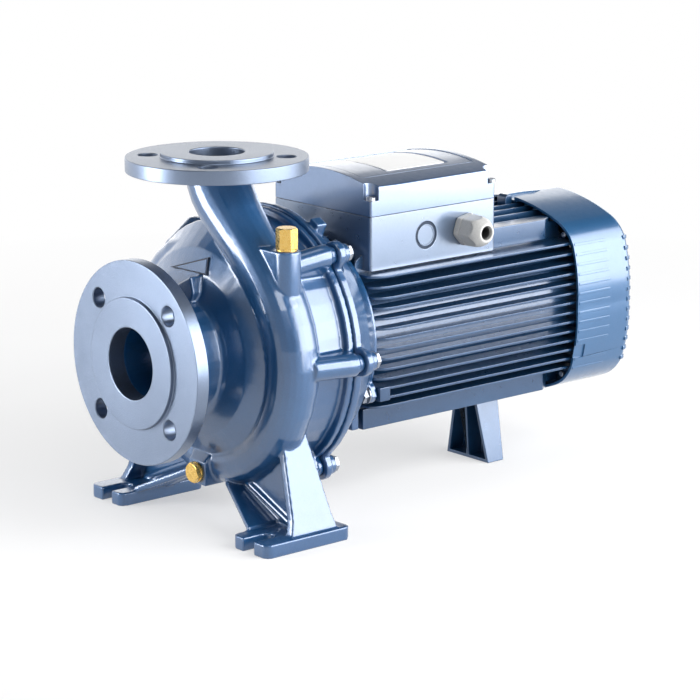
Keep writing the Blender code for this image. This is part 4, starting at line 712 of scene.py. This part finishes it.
side_fins = fin("side_fins", 1, MOTOR_HALF_WIDTH, MOTOR_HALF_WIDTH)
follow(side_fins, ROWS, Count=SIDE_FINS, Start=(0, 0, SHAFT_Z - SIDE_MIDDLE * SIDE_PITCH),
       Step=(0, 0, SIDE_PITCH), Reach=MOTOR_HALF_HEIGHT, Surface=MOTOR_BLUE, **SIDE_BOW)
finished(side_fins, *HOUSING)

for level, low, high, narrowing in (("top", FIN_ROOT, MOTOR_HALF_HEIGHT, 0.307),
                                    ("bottom", 0.085, FIN_ROOT, 0.150)):
    for hand, side in (("near", -1), ("far", 1)):
        row = fin(f"{level}_fins_{hand}", 2, low, high)
        follow(row, ROWS, Count=UPRIGHT_FINS, Start=(0, side * UPRIGHT_FIRST, SHAFT_Z),
               Step=(0, side * UPRIGHT_PITCH, 0), Reach=MOTOR_HALF_WIDTH, Narrowing=narrowing, **UPRIGHT_BOW)
        finished(row, *HOUSING)

# %% Corner panels, bosses and pads
PANEL_END = MOTOR_END - 0.052
PANEL_BOTTOM = -0.085
BOX_SEAT_Z = 0.2475


def corner_panel(side, start, low, high):
    """A flat upright panel at one of the motor's four long corners. Its rear end runs in at a slant."""
    rings = []
    for x, width in ((start, 0.066), (PANEL_END, 0.066), (PANEL_END + 0.012, 0.058)):
        rings.append([Vector((x, side * y, SHAFT_Z + z)) for y, z in (
            (0.050, low), (width, low), (width, high), (0.050, high))])
    return from_rings("panel", rings)


panels = []
bosses = []
for side in (-1, 1):
    panels.append(corner_panel(side, BOX_LOW.x + 0.004, 0.065, 0.0845))
    panels.append(corner_panel(side, MOTOR_START + 0.0035, PANEL_BOTTOM, PANEL_BOTTOM + 0.0195))
    y_low, y_high = sorted((side * 0.066, side * 0.0935))
    bosses.append(block("boss", (MOTOR_START + 0.0004, y_low, SHAFT_Z - 0.0525),
                        (MOTOR_START + 0.013, y_high, SHAFT_Z - 0.0395)))
foot_low, foot_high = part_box("support_foot")
bosses.append(block("pad", (foot_low.x - 0.004, -0.0195, foot_high.z + CLEARANCE),
                    (foot_high.x + 0.004, 0.0195, 0.085)))
bosses.append(block("seat", (COVER_START - 0.014, -0.008, SHAFT_Z + 0.070),
                    (COVER_START + 0.010, 0.008, BOX_SEAT_Z)))
finished(bevelled(joined("corner_panels", panels), 0.0009), *HOUSING)
finished(bevelled(joined("motor_bosses", bosses), 0.0008), *HOUSING)

# %% [markdown]
# ## Fan cover
# A pressed steel hood with the motor's bowed outline, a rounded rear edge and slots that let the fan breathe.
# The outline is three arcs a quarter. Its creases are softened by cutting every corner of the finished outline
# once, which keeps the arcs and rounds only where they meet.

# %% The bowed outline
HOOD = ("cover_paint", COVER_BLUE, ["fan_cover"])
COVER_WIDTH, COVER_HEIGHT = 0.0983, 0.0975
COVER_REAR = COVER_END - 0.0015
COVER_EDGE = 0.009
COVER_WALL = 0.0025


def arc_through(first, middle, last, steps):
    """Points on the circle through three points, from the first up to, not including, the last."""
    (ax, ay), (bx, by), (cx, cy) = first, middle, last
    aa, bb, cc = ax * ax + ay * ay, bx * bx + by * by, cx * cx + cy * cy
    d = 2 * (ax * (by - cy) + bx * (cy - ay) + cx * (ay - by))
    ux = (aa * (by - cy) + bb * (cy - ay) + cc * (ay - by)) / d
    uy = (aa * (cx - bx) + bb * (ax - cx) + cc * (bx - ax)) / d
    radius = math.hypot(ax - ux, ay - uy)
    start = math.atan2(ay - uy, ax - ux)
    sweep = (math.atan2(cy - uy, cx - ux) - start + math.pi) % (2 * math.pi) - math.pi
    turns = [start + sweep * i / steps for i in range(steps)]
    return [(ux + radius * math.cos(turn), uy + radius * math.sin(turn)) for turn in turns]


def bowed_outline(width, height):
    """Half width and half height give a closed outline with bowed sides and slanting corners."""
    side = (0.925 * width, 0.615 * height)
    top = (0.722 * width, 0.826 * height)
    quarter = (arc_through((width, 0.0), (0.984 * width, 0.36 * height), side, 14)
               + arc_through(side, (0.843 * width, 0.738 * height), top, 12)
               + arc_through(top, (0.40 * width, 0.938 * height), (0.0, height), 18))
    half = quarter + [(0.0, height)] + [(-y, z) for y, z in reversed(quarter[1:])]
    outline = half + [(-y, -z) for y, z in half]
    return [tuple(0.75 * a + 0.25 * b for a, b in zip(here, there))
            for i, here in enumerate(outline)
            for there in (outline[i - 1], outline[(i + 1) % len(outline)])]


def round_edge(steps):
    """Places on the rear edge's quarter circle, each with how far it lies inside the outline."""
    turns = [math.radians(90.0 / steps * i) for i in range(steps + 1)]
    return [(-COVER_EDGE * (1 - math.sin(turn)), COVER_EDGE * (1 - math.cos(turn))) for turn in turns]


def cover_shell(name, shrink, front, rear):
    """A solid with the cover's outline and its rounded rear edge, thinner by shrink."""
    rings = []
    for x, inset in [(front, 0.0)] + [(rear + place, inset) for place, inset in round_edge(6)]:
        outline = bowed_outline(COVER_WIDTH - shrink - inset, COVER_HEIGHT - shrink - inset)
        rings.append([Vector((x, y, SHAFT_Z + z)) for y, z in outline])
    return from_rings(name, rings)


print("outline of", len(bowed_outline(1, 1)), "points")

# %% Hood, recess and slots
GRILLE_PITCH = 0.0100
FAN_R = 0.074
SLOT_HALF = 0.0026
TOP_Z = SHAFT_Z + COVER_HEIGHT
RECESS_WIDTH, RECESS_LENGTH, RECESS_SLOPE = 0.0078, 0.044, 0.0025


def grille_slots():
    """Two slots a row, as long as the fan's circle is wide there."""
    slots = []
    for i in range(12):
        z = (i - 5.5) * GRILLE_PITCH
        reach = math.sqrt(FAN_R ** 2 - z ** 2)
        for side in (-1, 1):
            near, far = sorted((side * 0.004, side * reach))
            outline = rectangle((near, SHAFT_Z + z - SLOT_HALF), (far, SHAFT_Z + z + SLOT_HALF), 0.0022, 4)
            slots.append(prism("slot", outline, 0, COVER_REAR - 0.006, COVER_REAR + 0.003))
    return joined("slots", slots)


def recess():
    """The pointed recess in the hood's top, whose floor rises to its point."""
    front, shoulder, point = COVER_START - 0.002, COVER_START + 0.026, COVER_START + RECESS_LENGTH
    made = prism("recess", [(front, -RECESS_WIDTH), (shoulder, -RECESS_WIDTH), (point, 0.0),
                            (shoulder, RECESS_WIDTH), (front, RECESS_WIDTH)], 2, TOP_Z - 0.004, TOP_Z + 0.002)
    for vertex in made.data.vertices:
        if vertex.co.z < TOP_Z:
            vertex.co.z += max(0.0, vertex.co.x - COVER_START) / RECESS_LENGTH * RECESS_SLOPE
    return made


cover = cover_shell("fan_cover_hood", 0.0, COVER_START, COVER_REAR)
cut(cover, cover_shell("hollow", COVER_WALL, COVER_START - 0.002, COVER_REAR - COVER_WALL), grille_slots())
combine(cover, "UNION", block("pad", (COVER_START, -0.0108, TOP_Z - 0.0055),
                              (COVER_START + 0.046, 0.0108, TOP_Z - 0.0012)))
cut(cover, recess())

# %% Grille ribs
RIB_SECTION = ((-0.0010, -0.0021), (0.0005, -0.0021), (0.0010, -0.0014), (0.0010, 0.0014), (0.0005, 0.0021),
               (-0.0010, 0.0021))


def grille_rib():
    """A level rib that lies across the hood's rear and wraps round both its edges."""
    path = [(-COVER_EDGE, COVER_WIDTH)]
    path += [(place, COVER_WIDTH - inset) for place, inset in round_edge(4)]
    path += [(0.0, 0.05)]
    path += [(x, -y) for x, y in reversed(path)]
    rings = []
    for i, (x, y) in enumerate(path):
        before, after = path[max(i - 1, 0)], path[min(i + 1, len(path) - 1)]
        along = Vector((after[0] - before[0], after[1] - before[1], 0)).normalized()
        out = along.cross(Vector((0, 0, -1)))
        if i in (0, len(path) - 1):
            out = Vector((0, math.copysign(1, y), 0))
        rings.append([Vector((x, y, 0)) + out * o + Vector((0, 0, z)) for o, z in RIB_SECTION])
    rib = from_rings("grille_ribs", rings)
    rib.data.transform(Matrix.Translation((COVER_REAR, 0, 0)))
    return rib


ribs = grille_rib()
follow(ribs, ROWS, Count=13, Start=(0, 0, SHAFT_Z - 6 * GRILLE_PITCH), Step=(0, 0, GRILLE_PITCH),
       Reach=COVER_HEIGHT, Surface=COVER_BLUE, **SIDE_BOW)
finished(ribs, *HOOD)

# %% [markdown]
# ## Small things on surfaces
# Bolts, screws and ridges stand on surfaces that face many ways. Their rules take a mesh of points and put one
# made shape on every point. A point's own turn is stored on it, so one rule serves every side.


# %% Points with a turn
def points(name, places, turns):
    """A mesh of single points that each carry the turn of what stands there."""
    mesh = bpy.data.meshes.new(name)
    mesh.from_pydata([tuple(place) for place in places], [], [])
    turn = mesh.attributes.new("turn", "FLOAT_VECTOR", "POINT")
    turn.data.foreach_set("vector", [value for own in turns for value in own])
    return new_object(name, mesh)


def stand_on(tree, size, shape):
    """Puts the shape on every point of the rule's geometry, turned as the point says."""
    turn = tree.node("GeometryNodeInputNamedAttribute", {"Name": "turn"}, data_type="FLOAT_VECTOR")
    return end_rule(tree, size, size["Geometry"], shape, Rotation=turn)


def bar(tree, sides, radius, depth, centre):
    """An upright cylinder, or a prism if it has few sides, with its middle at this height."""
    made = tree.node("GeometryNodeMeshCylinder", {"Vertices": sides, "Radius": radius, "Depth": depth})
    return tree.node("GeometryNodeTransform", {"Geometry": made, "Translation": tree.xyz(Z=centre)})


def cut_by_cone(tree, shape, sides, top, bottom, depth, foot):
    """The shape's corners cut by a cone that stands with its foot at this height."""
    cone = tree.node("GeometryNodeMeshCone", {"Vertices": sides, "Radius Top": top, "Radius Bottom": bottom,
                                              "Depth": depth})
    cone = tree.node("GeometryNodeTransform", {"Geometry": cone, "Translation": tree.xyz(Z=foot)})
    return tree.node("GeometryNodeMeshBoolean", {1: [shape, cone]}, operation="INTERSECT", solver="EXACT")


def bolt_rule():
    """A hexagon head whose corners a cone has cut, on a washer, with a shank behind."""
    tree, size = new_rule("bolts", Flats="Float", Head="Float", WasherRadius="Float", Washer="Float",
                          ShankRadius="Float", Shank="Float")
    flats, head, washer, shank = (size[name] for name in ("Flats", "Head", "Washer", "Shank"))
    corner = flats * 0.57735
    hexagon_bar = bar(tree, 6, corner, head, washer + head * 0.5)
    shape = cut_by_cone(tree, hexagon_bar, 48, flats * 0.47, flats * 0.47 + head * 2.2, head * 1.04,
                        washer - head * 0.04)
    ring = bar(tree, 32, size["WasherRadius"], washer, washer * 0.5)
    rod = bar(tree, 20, size["ShankRadius"], shank, shank * -0.5)
    return stand_on(tree, size, tree.node("GeometryNodeJoinGeometry", {0: [shape, ring, rod]}))


def screw_rule():
    """A round head with a rounded rim and a hexagon socket."""
    tree, size = new_rule("screws", Radius="Float", Head="Float")
    radius, head = size["Radius"], size["Head"]
    shape = cut_by_cone(tree, bar(tree, 32, radius, head, head * 0.5), 32, radius * 0.86 - head * 0.05,
                        radius * 0.86 + head * 1.05, head * 1.1, head * -0.05)
    socket = bar(tree, 6, radius * 0.55, head, head)
    return stand_on(tree, size, tree.node("GeometryNodeMeshBoolean", {0: shape, 1: socket},
                                          operation="DIFFERENCE", solver="EXACT"))


BOLTS = bolt_rule()
SCREWS = screw_rule()
print("rules:", BOLTS.name, SCREWS.name)


# %% Bolts and screws
def facing(direction):
    """The turn that stands a shape up along this direction."""
    return Vector(direction).to_track_quat("Z", "Y").to_euler()


def plated(name, rule, places, turn, nodes, **sizes):
    """Zinc-plated bolts or screws, all turned the same way."""
    made = points(name, places, [turn] * len(places))
    follow(made, rule, Surface=ZINC, **sizes)
    finished(made, "zinc", ZINC, nodes)


SIDES = (-1, 1)
FRONT, REAR, UP = facing((-1, 0, 0)), facing((1, 0, 0)), (0, 0, 0)

plated("casing_bolts", BOLTS, [round_shaft(angle, LUG_CIRCLE_R, LUG_BACK) for angle in LUG_ANGLES], REAR,
       [f"casing_bolt_{i}" for i in range(1, 7)],
       Flats=0.013, Head=0.0046, WasherRadius=0.0087, Washer=0.0010, ShankRadius=0.004, Shank=0.030)

bolt_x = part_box("motor_bolt_near")[0].x + 0.007
plated("motor_bolts", BOLTS, [(bolt_x, side * 0.083, SHAFT_Z - 0.046) for side in SIDES], FRONT,
       ["motor_bolt_near", "motor_bolt_far"],
       Flats=0.013, Head=0.0060, WasherRadius=0.0085, Washer=0.0010, ShankRadius=0.0035, Shank=0.015)

lid_nodes = [f"lid_screw_{i}" for i in range(1, 5)]
lid_seats = [((low.x + high.x) / 2, (low.y + high.y) / 2, low.z) for low, high in map(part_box, lid_nodes)]
plated("lid_screws", SCREWS, lid_seats, UP, lid_nodes, Radius=0.0042, Head=0.0037)

cover_seats = [(COVER_START + 0.0022, side * 0.0763, SHAFT_Z + up * 0.0690) for side in SIDES for up in SIDES]
plated("cover_screws", SCREWS, cover_seats, FRONT, [], Radius=0.0026, Head=0.0022)

# %% Ridges and latch pockets on the hood's sides
POCKET_FIN, POCKET_Z = 2, -0.044
SUNK = 0.00005


def ridge_rule():
    """A low ridge with a slanting rear end, as long, as wide and as high as it is told."""
    tree, size = new_rule("ridges", Length="Float", Width="Float", Rise="Float", Slant="Float")
    shape = tree.node("GeometryNodeMeshCube",
                      {"Size": tree.xyz(X=size["Length"], Y=size["Width"], Z=size["Rise"] * 2.0)})
    stand = tree.node("GeometryNodeInputPosition")
    rear = (tree.part(stand, 0) > 0.0) * (tree.part(stand, 2) > 0.0)
    slant = tree.xyz(X=rear * size["Slant"] * -1.0)
    return stand_on(tree, size, tree.node("GeometryNodeSetPosition", {"Geometry": shape, "Offset": slant}))


def side_places(heights, place):
    """Places and turns that lie on both sides of the hood, at these heights from the shaft."""
    places, turns = [], []
    levels, widths = zip(*sorted((z, y) for y, z in bowed_outline(COVER_WIDTH, COVER_HEIGHT) if y > 0.07))
    step = 0.002
    for z in heights:
        below, here, above = (float(np.interp(level, levels, widths)) for level in (z - step, z, z + step))
        for side in (-1, 1):
            places.append((place, side * (here - SUNK), SHAFT_Z + z))
            out = Vector((0, side, (below - above) / (2 * step))).normalized()
            along = Vector((1, 0, 0))
            turns.append(Matrix((along, out.cross(along), out)).transposed().to_euler())
    return places, turns


RIDGES = ridge_rule()
level_with_fins = [(i - SIDE_MIDDLE) * SIDE_PITCH for i in range(SIDE_FINS) if i != POCKET_FIN]
ridges = points("hood_ridges", *side_places(level_with_fins, COVER_START + 0.0245))
follow(ridges, RIDGES, Length=0.046, Width=0.0027, Rise=0.00060, Slant=0.006, Surface=COVER_BLUE)
finished(bevelled(ridges, FINE_EDGE), *HOOD)

pockets = points("cover_pockets", *side_places([POCKET_Z], COVER_START + 0.0055))
follow(pockets, RIDGES, Length=0.0150, Width=0.0130, Rise=0.0016, Slant=0.0, Surface=COVER_BLUE)
cut(cover, pockets)
finished(bevelled(cover, FINE_EDGE, 50.0), *HOOD)

# %% [markdown]
# ## Terminal box
# The base and the lid are die castings with rounded upright edges. The lid is cambered, its four corners are
# notched for the screws, and its top has a shallow framed panel with a blank data plate in a well. Each is a
# rounded block that other blocks are cut from.

# %% Box base
BOX_CORNER = 0.0032
NEAR = BOX_LOW.y
ENTRY_Z = BOX_LOW.z + 0.0257
GLAND_PLACE = (BOX_LOW.x + 0.1167, NEAR, ENTRY_Z)
KNOCKOUT_PLACE = (BOX_LOW.x + 0.0685, NEAR, ENTRY_Z)

base = block("terminal_box", BOX_LOW, BOX_HIGH, BOX_CORNER)
cut(base,
    rod(BOX_LOW.x - 0.01, BOX_HIGH.x + 0.01, 0.0865, SHAFT_LINE, 0, 128),
    rod(-0.002, 0.010, 0.0098, GLAND_PLACE, 1, 40),
    turned("pocket", [(-0.001, 0.0135), (0.0006, 0.0130), (0.0025, 0.0128)], KNOCKOUT_PLACE, 1, 64))
finished(bevelled(base, FINE_EDGE, 50.0), "motor_enamel", BOX_BLUE, ["terminal_box_base"])

disc = turned("knockout", [(0.0023, 0.0106), (0.0009, 0.0106), (0.0003, 0.0101), (0.0003, 0.0093),
                           (0.0008, 0.0090)], KNOCKOUT_PLACE, 1, 64)
finished(disc, "motor_enamel", BOX_BLUE, ["knockout_disc"])
# Painted shade: a dark ring set into the knockout's groove, standing in for the shadow down in it.
groove_shadow_outline = [(0.0012, 0.0107), (0.0012, 0.0129), (0.0024, 0.0128), (0.0024, 0.0107)]
groove_shadow = turned("knockout_groove_shadow", softened(groove_shadow_outline, 0.0001, 1), KNOCKOUT_PLACE, 1, 64, True)
finished(groove_shadow, "motor_enamel", PAINTED_SHADE_BLUE, ["terminal_box_base"])

# %% Lid
LID_CROWN = LID_HIGH.z
LID_EDGE_Z = LID_CROWN - 0.011
HALF = LID_HIGH.y


def camber(name, drop):
    """A block under the lid's cambered top, lowered by drop."""
    chamfer = [(0.0, -0.0006), (0.0007, 0.0009)]
    inset, rise = 0.0024, 0.0018
    crown = arc_through((HALF - inset, LID_EDGE_Z + rise), (0.0, LID_CROWN),
                        (-HALF + inset, LID_EDGE_Z + rise), 28)
    outline = [(-HALF, LID_LOW.z), (HALF, LID_LOW.z), *((HALF - y, LID_EDGE_Z + z) for y, z in chamfer), *crown,
               (-HALF + inset, LID_EDGE_Z + rise), *((-HALF + y, LID_EDGE_Z + z) for y, z in reversed(chamfer))]
    return prism(name, [(y, z - drop) for y, z in outline], 0, LID_LOW.x - 0.001, LID_HIGH.x + 0.001)


def slab(name, low_x, high_x, half_y, radius):
    """A rounded block that stands through the lid's top."""
    return block(name, (low_x, -half_y, LID_CROWN - 0.02), (high_x, half_y, LID_CROWN + 0.01), radius, 6)


lid = block("terminal_box_cap", LID_LOW, (LID_HIGH.x, LID_HIGH.y, LID_CROWN + 0.01), BOX_CORNER)
combine(lid, "INTERSECT", camber("under_camber", 0.0))
notch = [(-CLEARANCE, 0.0073), (0.0200, 0.0077), (0.04, 0.0077)]
cut(lid, *(turned("notch", notch, seat, 2, 40) for seat in lid_seats))
panel = slab("panel", LID_LOW.x + 0.010, LID_HIGH.x - 0.006, 0.0470, 0.006)
cut(panel, camber("floor", 0.0006))
well = slab("well", LID_LOW.x + 0.046, LID_LOW.x + 0.1245, 0.0385, 0.004)
cut(well, camber("well_floor", 0.0016))
cut(lid, panel, well)
finished(bevelled(lid, 0.0006, 40.0), "lid_paint", LID_BLUE, ["terminal_box_lid"])

plate = slab("data_plate", LID_LOW.x + 0.049, LID_LOW.x + 0.1215, 0.0355, 0.0015)
combine(plate, "INTERSECT", camber("plate_top", 0.0010))
cut(plate, camber("plate_floor", 0.0019))
finished(plate, "zinc", PLATE, [])

# %% [markdown]
# ## Cable gland and plugs
# The gland is a hexagon body, a cap nut whose flats fade into a dome, and a rubber seal. A flat-sided bar cut
# by a turned shape gives exactly the curves that a machinist's chamfer leaves, so hexagons are made that way.

# %% Cable gland
HEXAGON_TURN = 12
GLAND_FACE = (GLAND_PLACE[0], NEAR - CLEARANCE, ENTRY_Z)


def hexagon(name, outline, flats, centre, axis):
    """A turned shape cut down to six flat sides."""
    centre = Vector(centre)
    places = [place for place, radius in outline]
    corner = flats / 2 / math.cos(math.pi / 6)
    u, v = (centre[i] for i in range(3) if i != axis)
    angles = [math.radians(HEXAGON_TURN) + 2 * math.pi * i / 6 for i in range(6)]
    sides = prism("flats", [(u + corner * math.cos(angle), v + corner * math.sin(angle)) for angle in angles],
                  axis, centre[axis] + min(places) - 0.002, centre[axis] + max(places) + 0.002)
    return combine(turned(name, outline, centre, axis, 96), "INTERSECT", sides)


body = hexagon("gland_hexagon", [(0.0, 0.0142), (-0.0011, 0.0156), (-0.0054, 0.0156), (-0.0065, 0.0142)], 0.027,
               GLAND_FACE, 1)
cut(body, rod(-0.01, 0.002, 0.0052, GLAND_FACE, 1, 40))
finished(bevelled(body, 0.0003, 40.0), "grey_plastic", GREY_PLASTIC, ["gland_body"])

cap = hexagon("gland_dome", [
    (-0.0068, 0.0130), (-0.0068, 0.0146), (-0.0078, 0.0150), (-0.0185, 0.0148), (-0.0215, 0.0142),
    (-0.0245, 0.0131), (-0.0270, 0.0116), (-0.0290, 0.0101), (-0.0301, 0.0091), (-0.0306, 0.0083)], 0.0264,
    GLAND_FACE, 1)
cap_bore = [(-0.032, 0.0078), (-0.0298, 0.0066), (-0.006, 0.0066)]
cut(cap, turned("hole", cap_bore, GLAND_FACE, 1, 48))
finished(bevelled(cap, FINE_EDGE, 25.0), "grey_plastic", GREY_PLASTIC, ["gland_cap"], 45.0)
seal_outline = [(-0.0072, 0.0052), (-0.0072, 0.0063), (-0.0275, 0.0063), (-0.0275, 0.0052)]
seal = turned("gland_seal_ring", softened(seal_outline, 0.0005), GLAND_FACE, 1, 48, True)
finished(seal, "rubber", RUBBER, ["gland_seal"])

# %% Brass plugs
PLUG_FLATS = 0.017
PRIMING_HEAD, DRAIN_HEAD = 0.020, 0.0065


def plug(name, node, face, axis, side, head):
    """A hexagon plug with a turned collar under its head, standing on a face."""
    corner = PLUG_FLATS / math.sqrt(3)
    head_outline = [(0.0, corner * 0.90), (0.0008, corner), (head - 0.0016, corner),
                    (head - 0.0006, corner * 0.93), (head, corner * 0.84)]
    collar_outline = [(-0.012, 0.0064), (0.0, 0.0064), (0.0, 0.0094), (0.0014, 0.0094), (0.0018, 0.0089)]
    made = hexagon(name, faced(head_outline, side), PLUG_FLATS, face, axis)
    collar = turned("collar", faced(collar_outline, side), face, axis, 48)
    finished(joined(name, [made, collar]), "brass", BRASS, [node])


priming_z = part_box("priming_plug")[1].z - PRIMING_HEAD
plug("priming_plug_head", "priming_plug", (DISCHARGE_X, -0.0978, priming_z), 2, 1, PRIMING_HEAD)
drain_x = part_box("drain_plug")[0].x + DRAIN_HEAD
plug("drain_plug_head", "drain_plug", (drain_x, 0.0, 0.0475), 0, -1, DRAIN_HEAD)

# %% [markdown]
# ## What turns, and the feet
# The impeller and its nut show through the suction bore, and the fan through the grille. The solids of the
# impeller, the nut, the shaft and the support foot have the right shape already, so merged copies carry the
# finish. The fan is made again, with blades by rule.

# %% Copies that only need edges
for node, slot, surface, width in (
        ("support_foot", "motor_enamel", MOTOR_BLUE, 0.0009),
        ("cover_lug", "motor_enamel", MOTOR_BLUE, 0.0008),
        ("impeller", "cast_iron", IRON, 0.0),
        ("impeller_nut", "steel", STEEL, 0.0),
        ("shaft", "steel", STEEL, 0.0)):
    piece = merged_copy(node, node + "_piece")
    if width:
        bevelled(piece, width)
    finished(piece, slot, surface, [node])


# %% Cooling fan
def blade_rule():
    """Blades round the shaft, each one a copy of the piece, turned by its share of a whole turn."""
    tree, size = new_rule("blades", Count="Int")
    row = tree.node("GeometryNodeMeshLine", {"Count": size["Count"], "Offset": (0.0, 0.0, 0.0)}, mode="OFFSET")
    turn = tree.xyz(X=tree.node("GeometryNodeInputIndex") / size["Count"] * (2 * math.pi))
    return end_rule(tree, size, row, size["Geometry"], Rotation=turn)


fan_low, fan_high = (corner.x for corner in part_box("cooling_fan"))
blade_outline = [(fan_low + 0.0015, 0.016), (fan_high - 0.001, 0.016), (fan_high - 0.001, 0.0735, 0.005),
                 (fan_low + 0.0015, 0.0735)]
blade = prism("fan_blades", softened(blade_outline, 0.0005), 1, -0.0012, 0.0012)
follow(bevelled(blade, FINE_EDGE, 60.0), blade_rule(), Count=8, Surface=BLACK_PLASTIC)
blade.data.transform(Matrix.Translation(SHAFT_LINE))
finished(blade, "dark_plastic", BLACK_PLASTIC, ["cooling_fan"])
disc_back = fan_low + 0.0025
hub_outline = [(fan_low, 0.0103), (fan_low, 0.070, 0.0008), (disc_back, 0.070, 0.0008),
               (disc_back, 0.018, 0.002), (fan_high, 0.018, 0.001), (fan_high, 0.0103)]
hub = turned("fan_hub", softened(hub_outline, 0.0004), SHAFT_LINE, 0, 96, True)
finished(hub, "dark_plastic", BLACK_PLASTIC, ["cooling_fan"])

# %% [markdown]
# ## Floor, light and background
# A product studio: a pale floor that runs on behind the pump, and soft boxes round it. The wide one at the
# right shows in the near sides and a small one over it in the suction neck. The narrow one at the left draws
# the long highlight down the discharge neck, and the low one behind shows in the top flange. The world is dim,
# and dimmer overhead, so that the blue stays deep between the highlights. The floor fades to white a little
# way from the pump.

# %% Floor
FLOOR_DARK, FLOOR_PALE, FLOOR_GLOW = (0.44, 0.44, 0.443), (0.46, 0.46, 0.463), (0.46, 0.46, 0.46)
FADE_START, FADE_END = 0.55, 1.3


def pale_floor():
    bpy.ops.mesh.primitive_plane_add(size=40)
    floor = bpy.context.object
    floor.name = "floor"
    made, tree, shader = new_finish("pale_floor", Roughness=0.9, Specular_IOR_Level=0.0, Emission_Strength=1.0)
    far = tree.between(tree.vector("LENGTH", tree.place(), output="Value"), FADE_START, FADE_END)
    tone = tree.mixed(tree.mottle(2.0, 2.0), FLOOR_DARK, FLOOR_PALE)
    tree.feed(shader, Base_Color=tree.mixed(far, tone, (0.0, 0.0, 0.0)),
              Emission_Color=tree.mixed(far, FLOOR_GLOW, (1.0, 1.0, 1.0)))
    floor.data.materials.append(made)


pale_floor()


# %% Lights
def soft_light(name, place, aim_z, size, radiance, spread=180.0):
    """A soft box of this size in metres, which looks this bright in a mirror. The camera doesn't see it."""
    data = bpy.data.lights.new(name, "AREA")
    data.shape = "RECTANGLE"
    data.size, data.size_y = size
    data.energy = radiance * math.pi * size[0] * size[1] * math.sin(math.radians(spread / 2)) ** 2
    data.spread = math.radians(spread)
    light = new_object(name, data)
    light.location = place
    light.rotation_euler = (Vector((0, 0, aim_z)) - Vector(place)).to_track_quat("-Z", "Y").to_euler()
    light.visible_camera = False


soft_light("right", (0.64, -0.95, 0.54), 0.28, (2.2, 1.00), 4.3, 130.0)
soft_light("right_high", (0.16, -1.02, 1.02), 0.24, (0.70, 0.30), 3.5, 130.0)
soft_light("left", (-1.12, 0.56, 0.38), 0.30, (0.50, 0.80), 7.2, 130.0)
soft_light("left_back", (-0.42, 1.18, 0.60), 0.30, (1.2, 0.9), 1.0)
soft_light("behind", (0.80, 0.96, 0.47), 0.30, (1.7, 0.60), 1.30)
soft_light("front_high", (-1.0, -1.15, 1.15), 0.2, (0.6, 0.35), 5.0)
soft_light("top", (0.0, -0.15, 1.7), 0.1, (1.2, 0.6), 1.6)

world = bpy.data.worlds.new("studio")
world.use_nodes = True
bpy.context.scene.world = world
tree = Tree(world.node_tree)
height = tree.part(tree.node("ShaderNodeTexCoord", output="Generated"), 2)
background = world.node_tree.nodes["Background"]
tree.feed(background, Strength=tree.between(height, 0.30, 0.62, 0.50, 0.10))
background.inputs["Color"].default_value = (1.0, 1.0, 1.0, 1.0)
print("lights and world ready")

# %% [markdown]
# ## Sizes kept
# The pump's real size is set by its solids. The frame's box is printed once more.

# %% Print the frame's box
print("CAD box", [round(v, 4) for v in (*cad_box[0], *cad_box[1])])
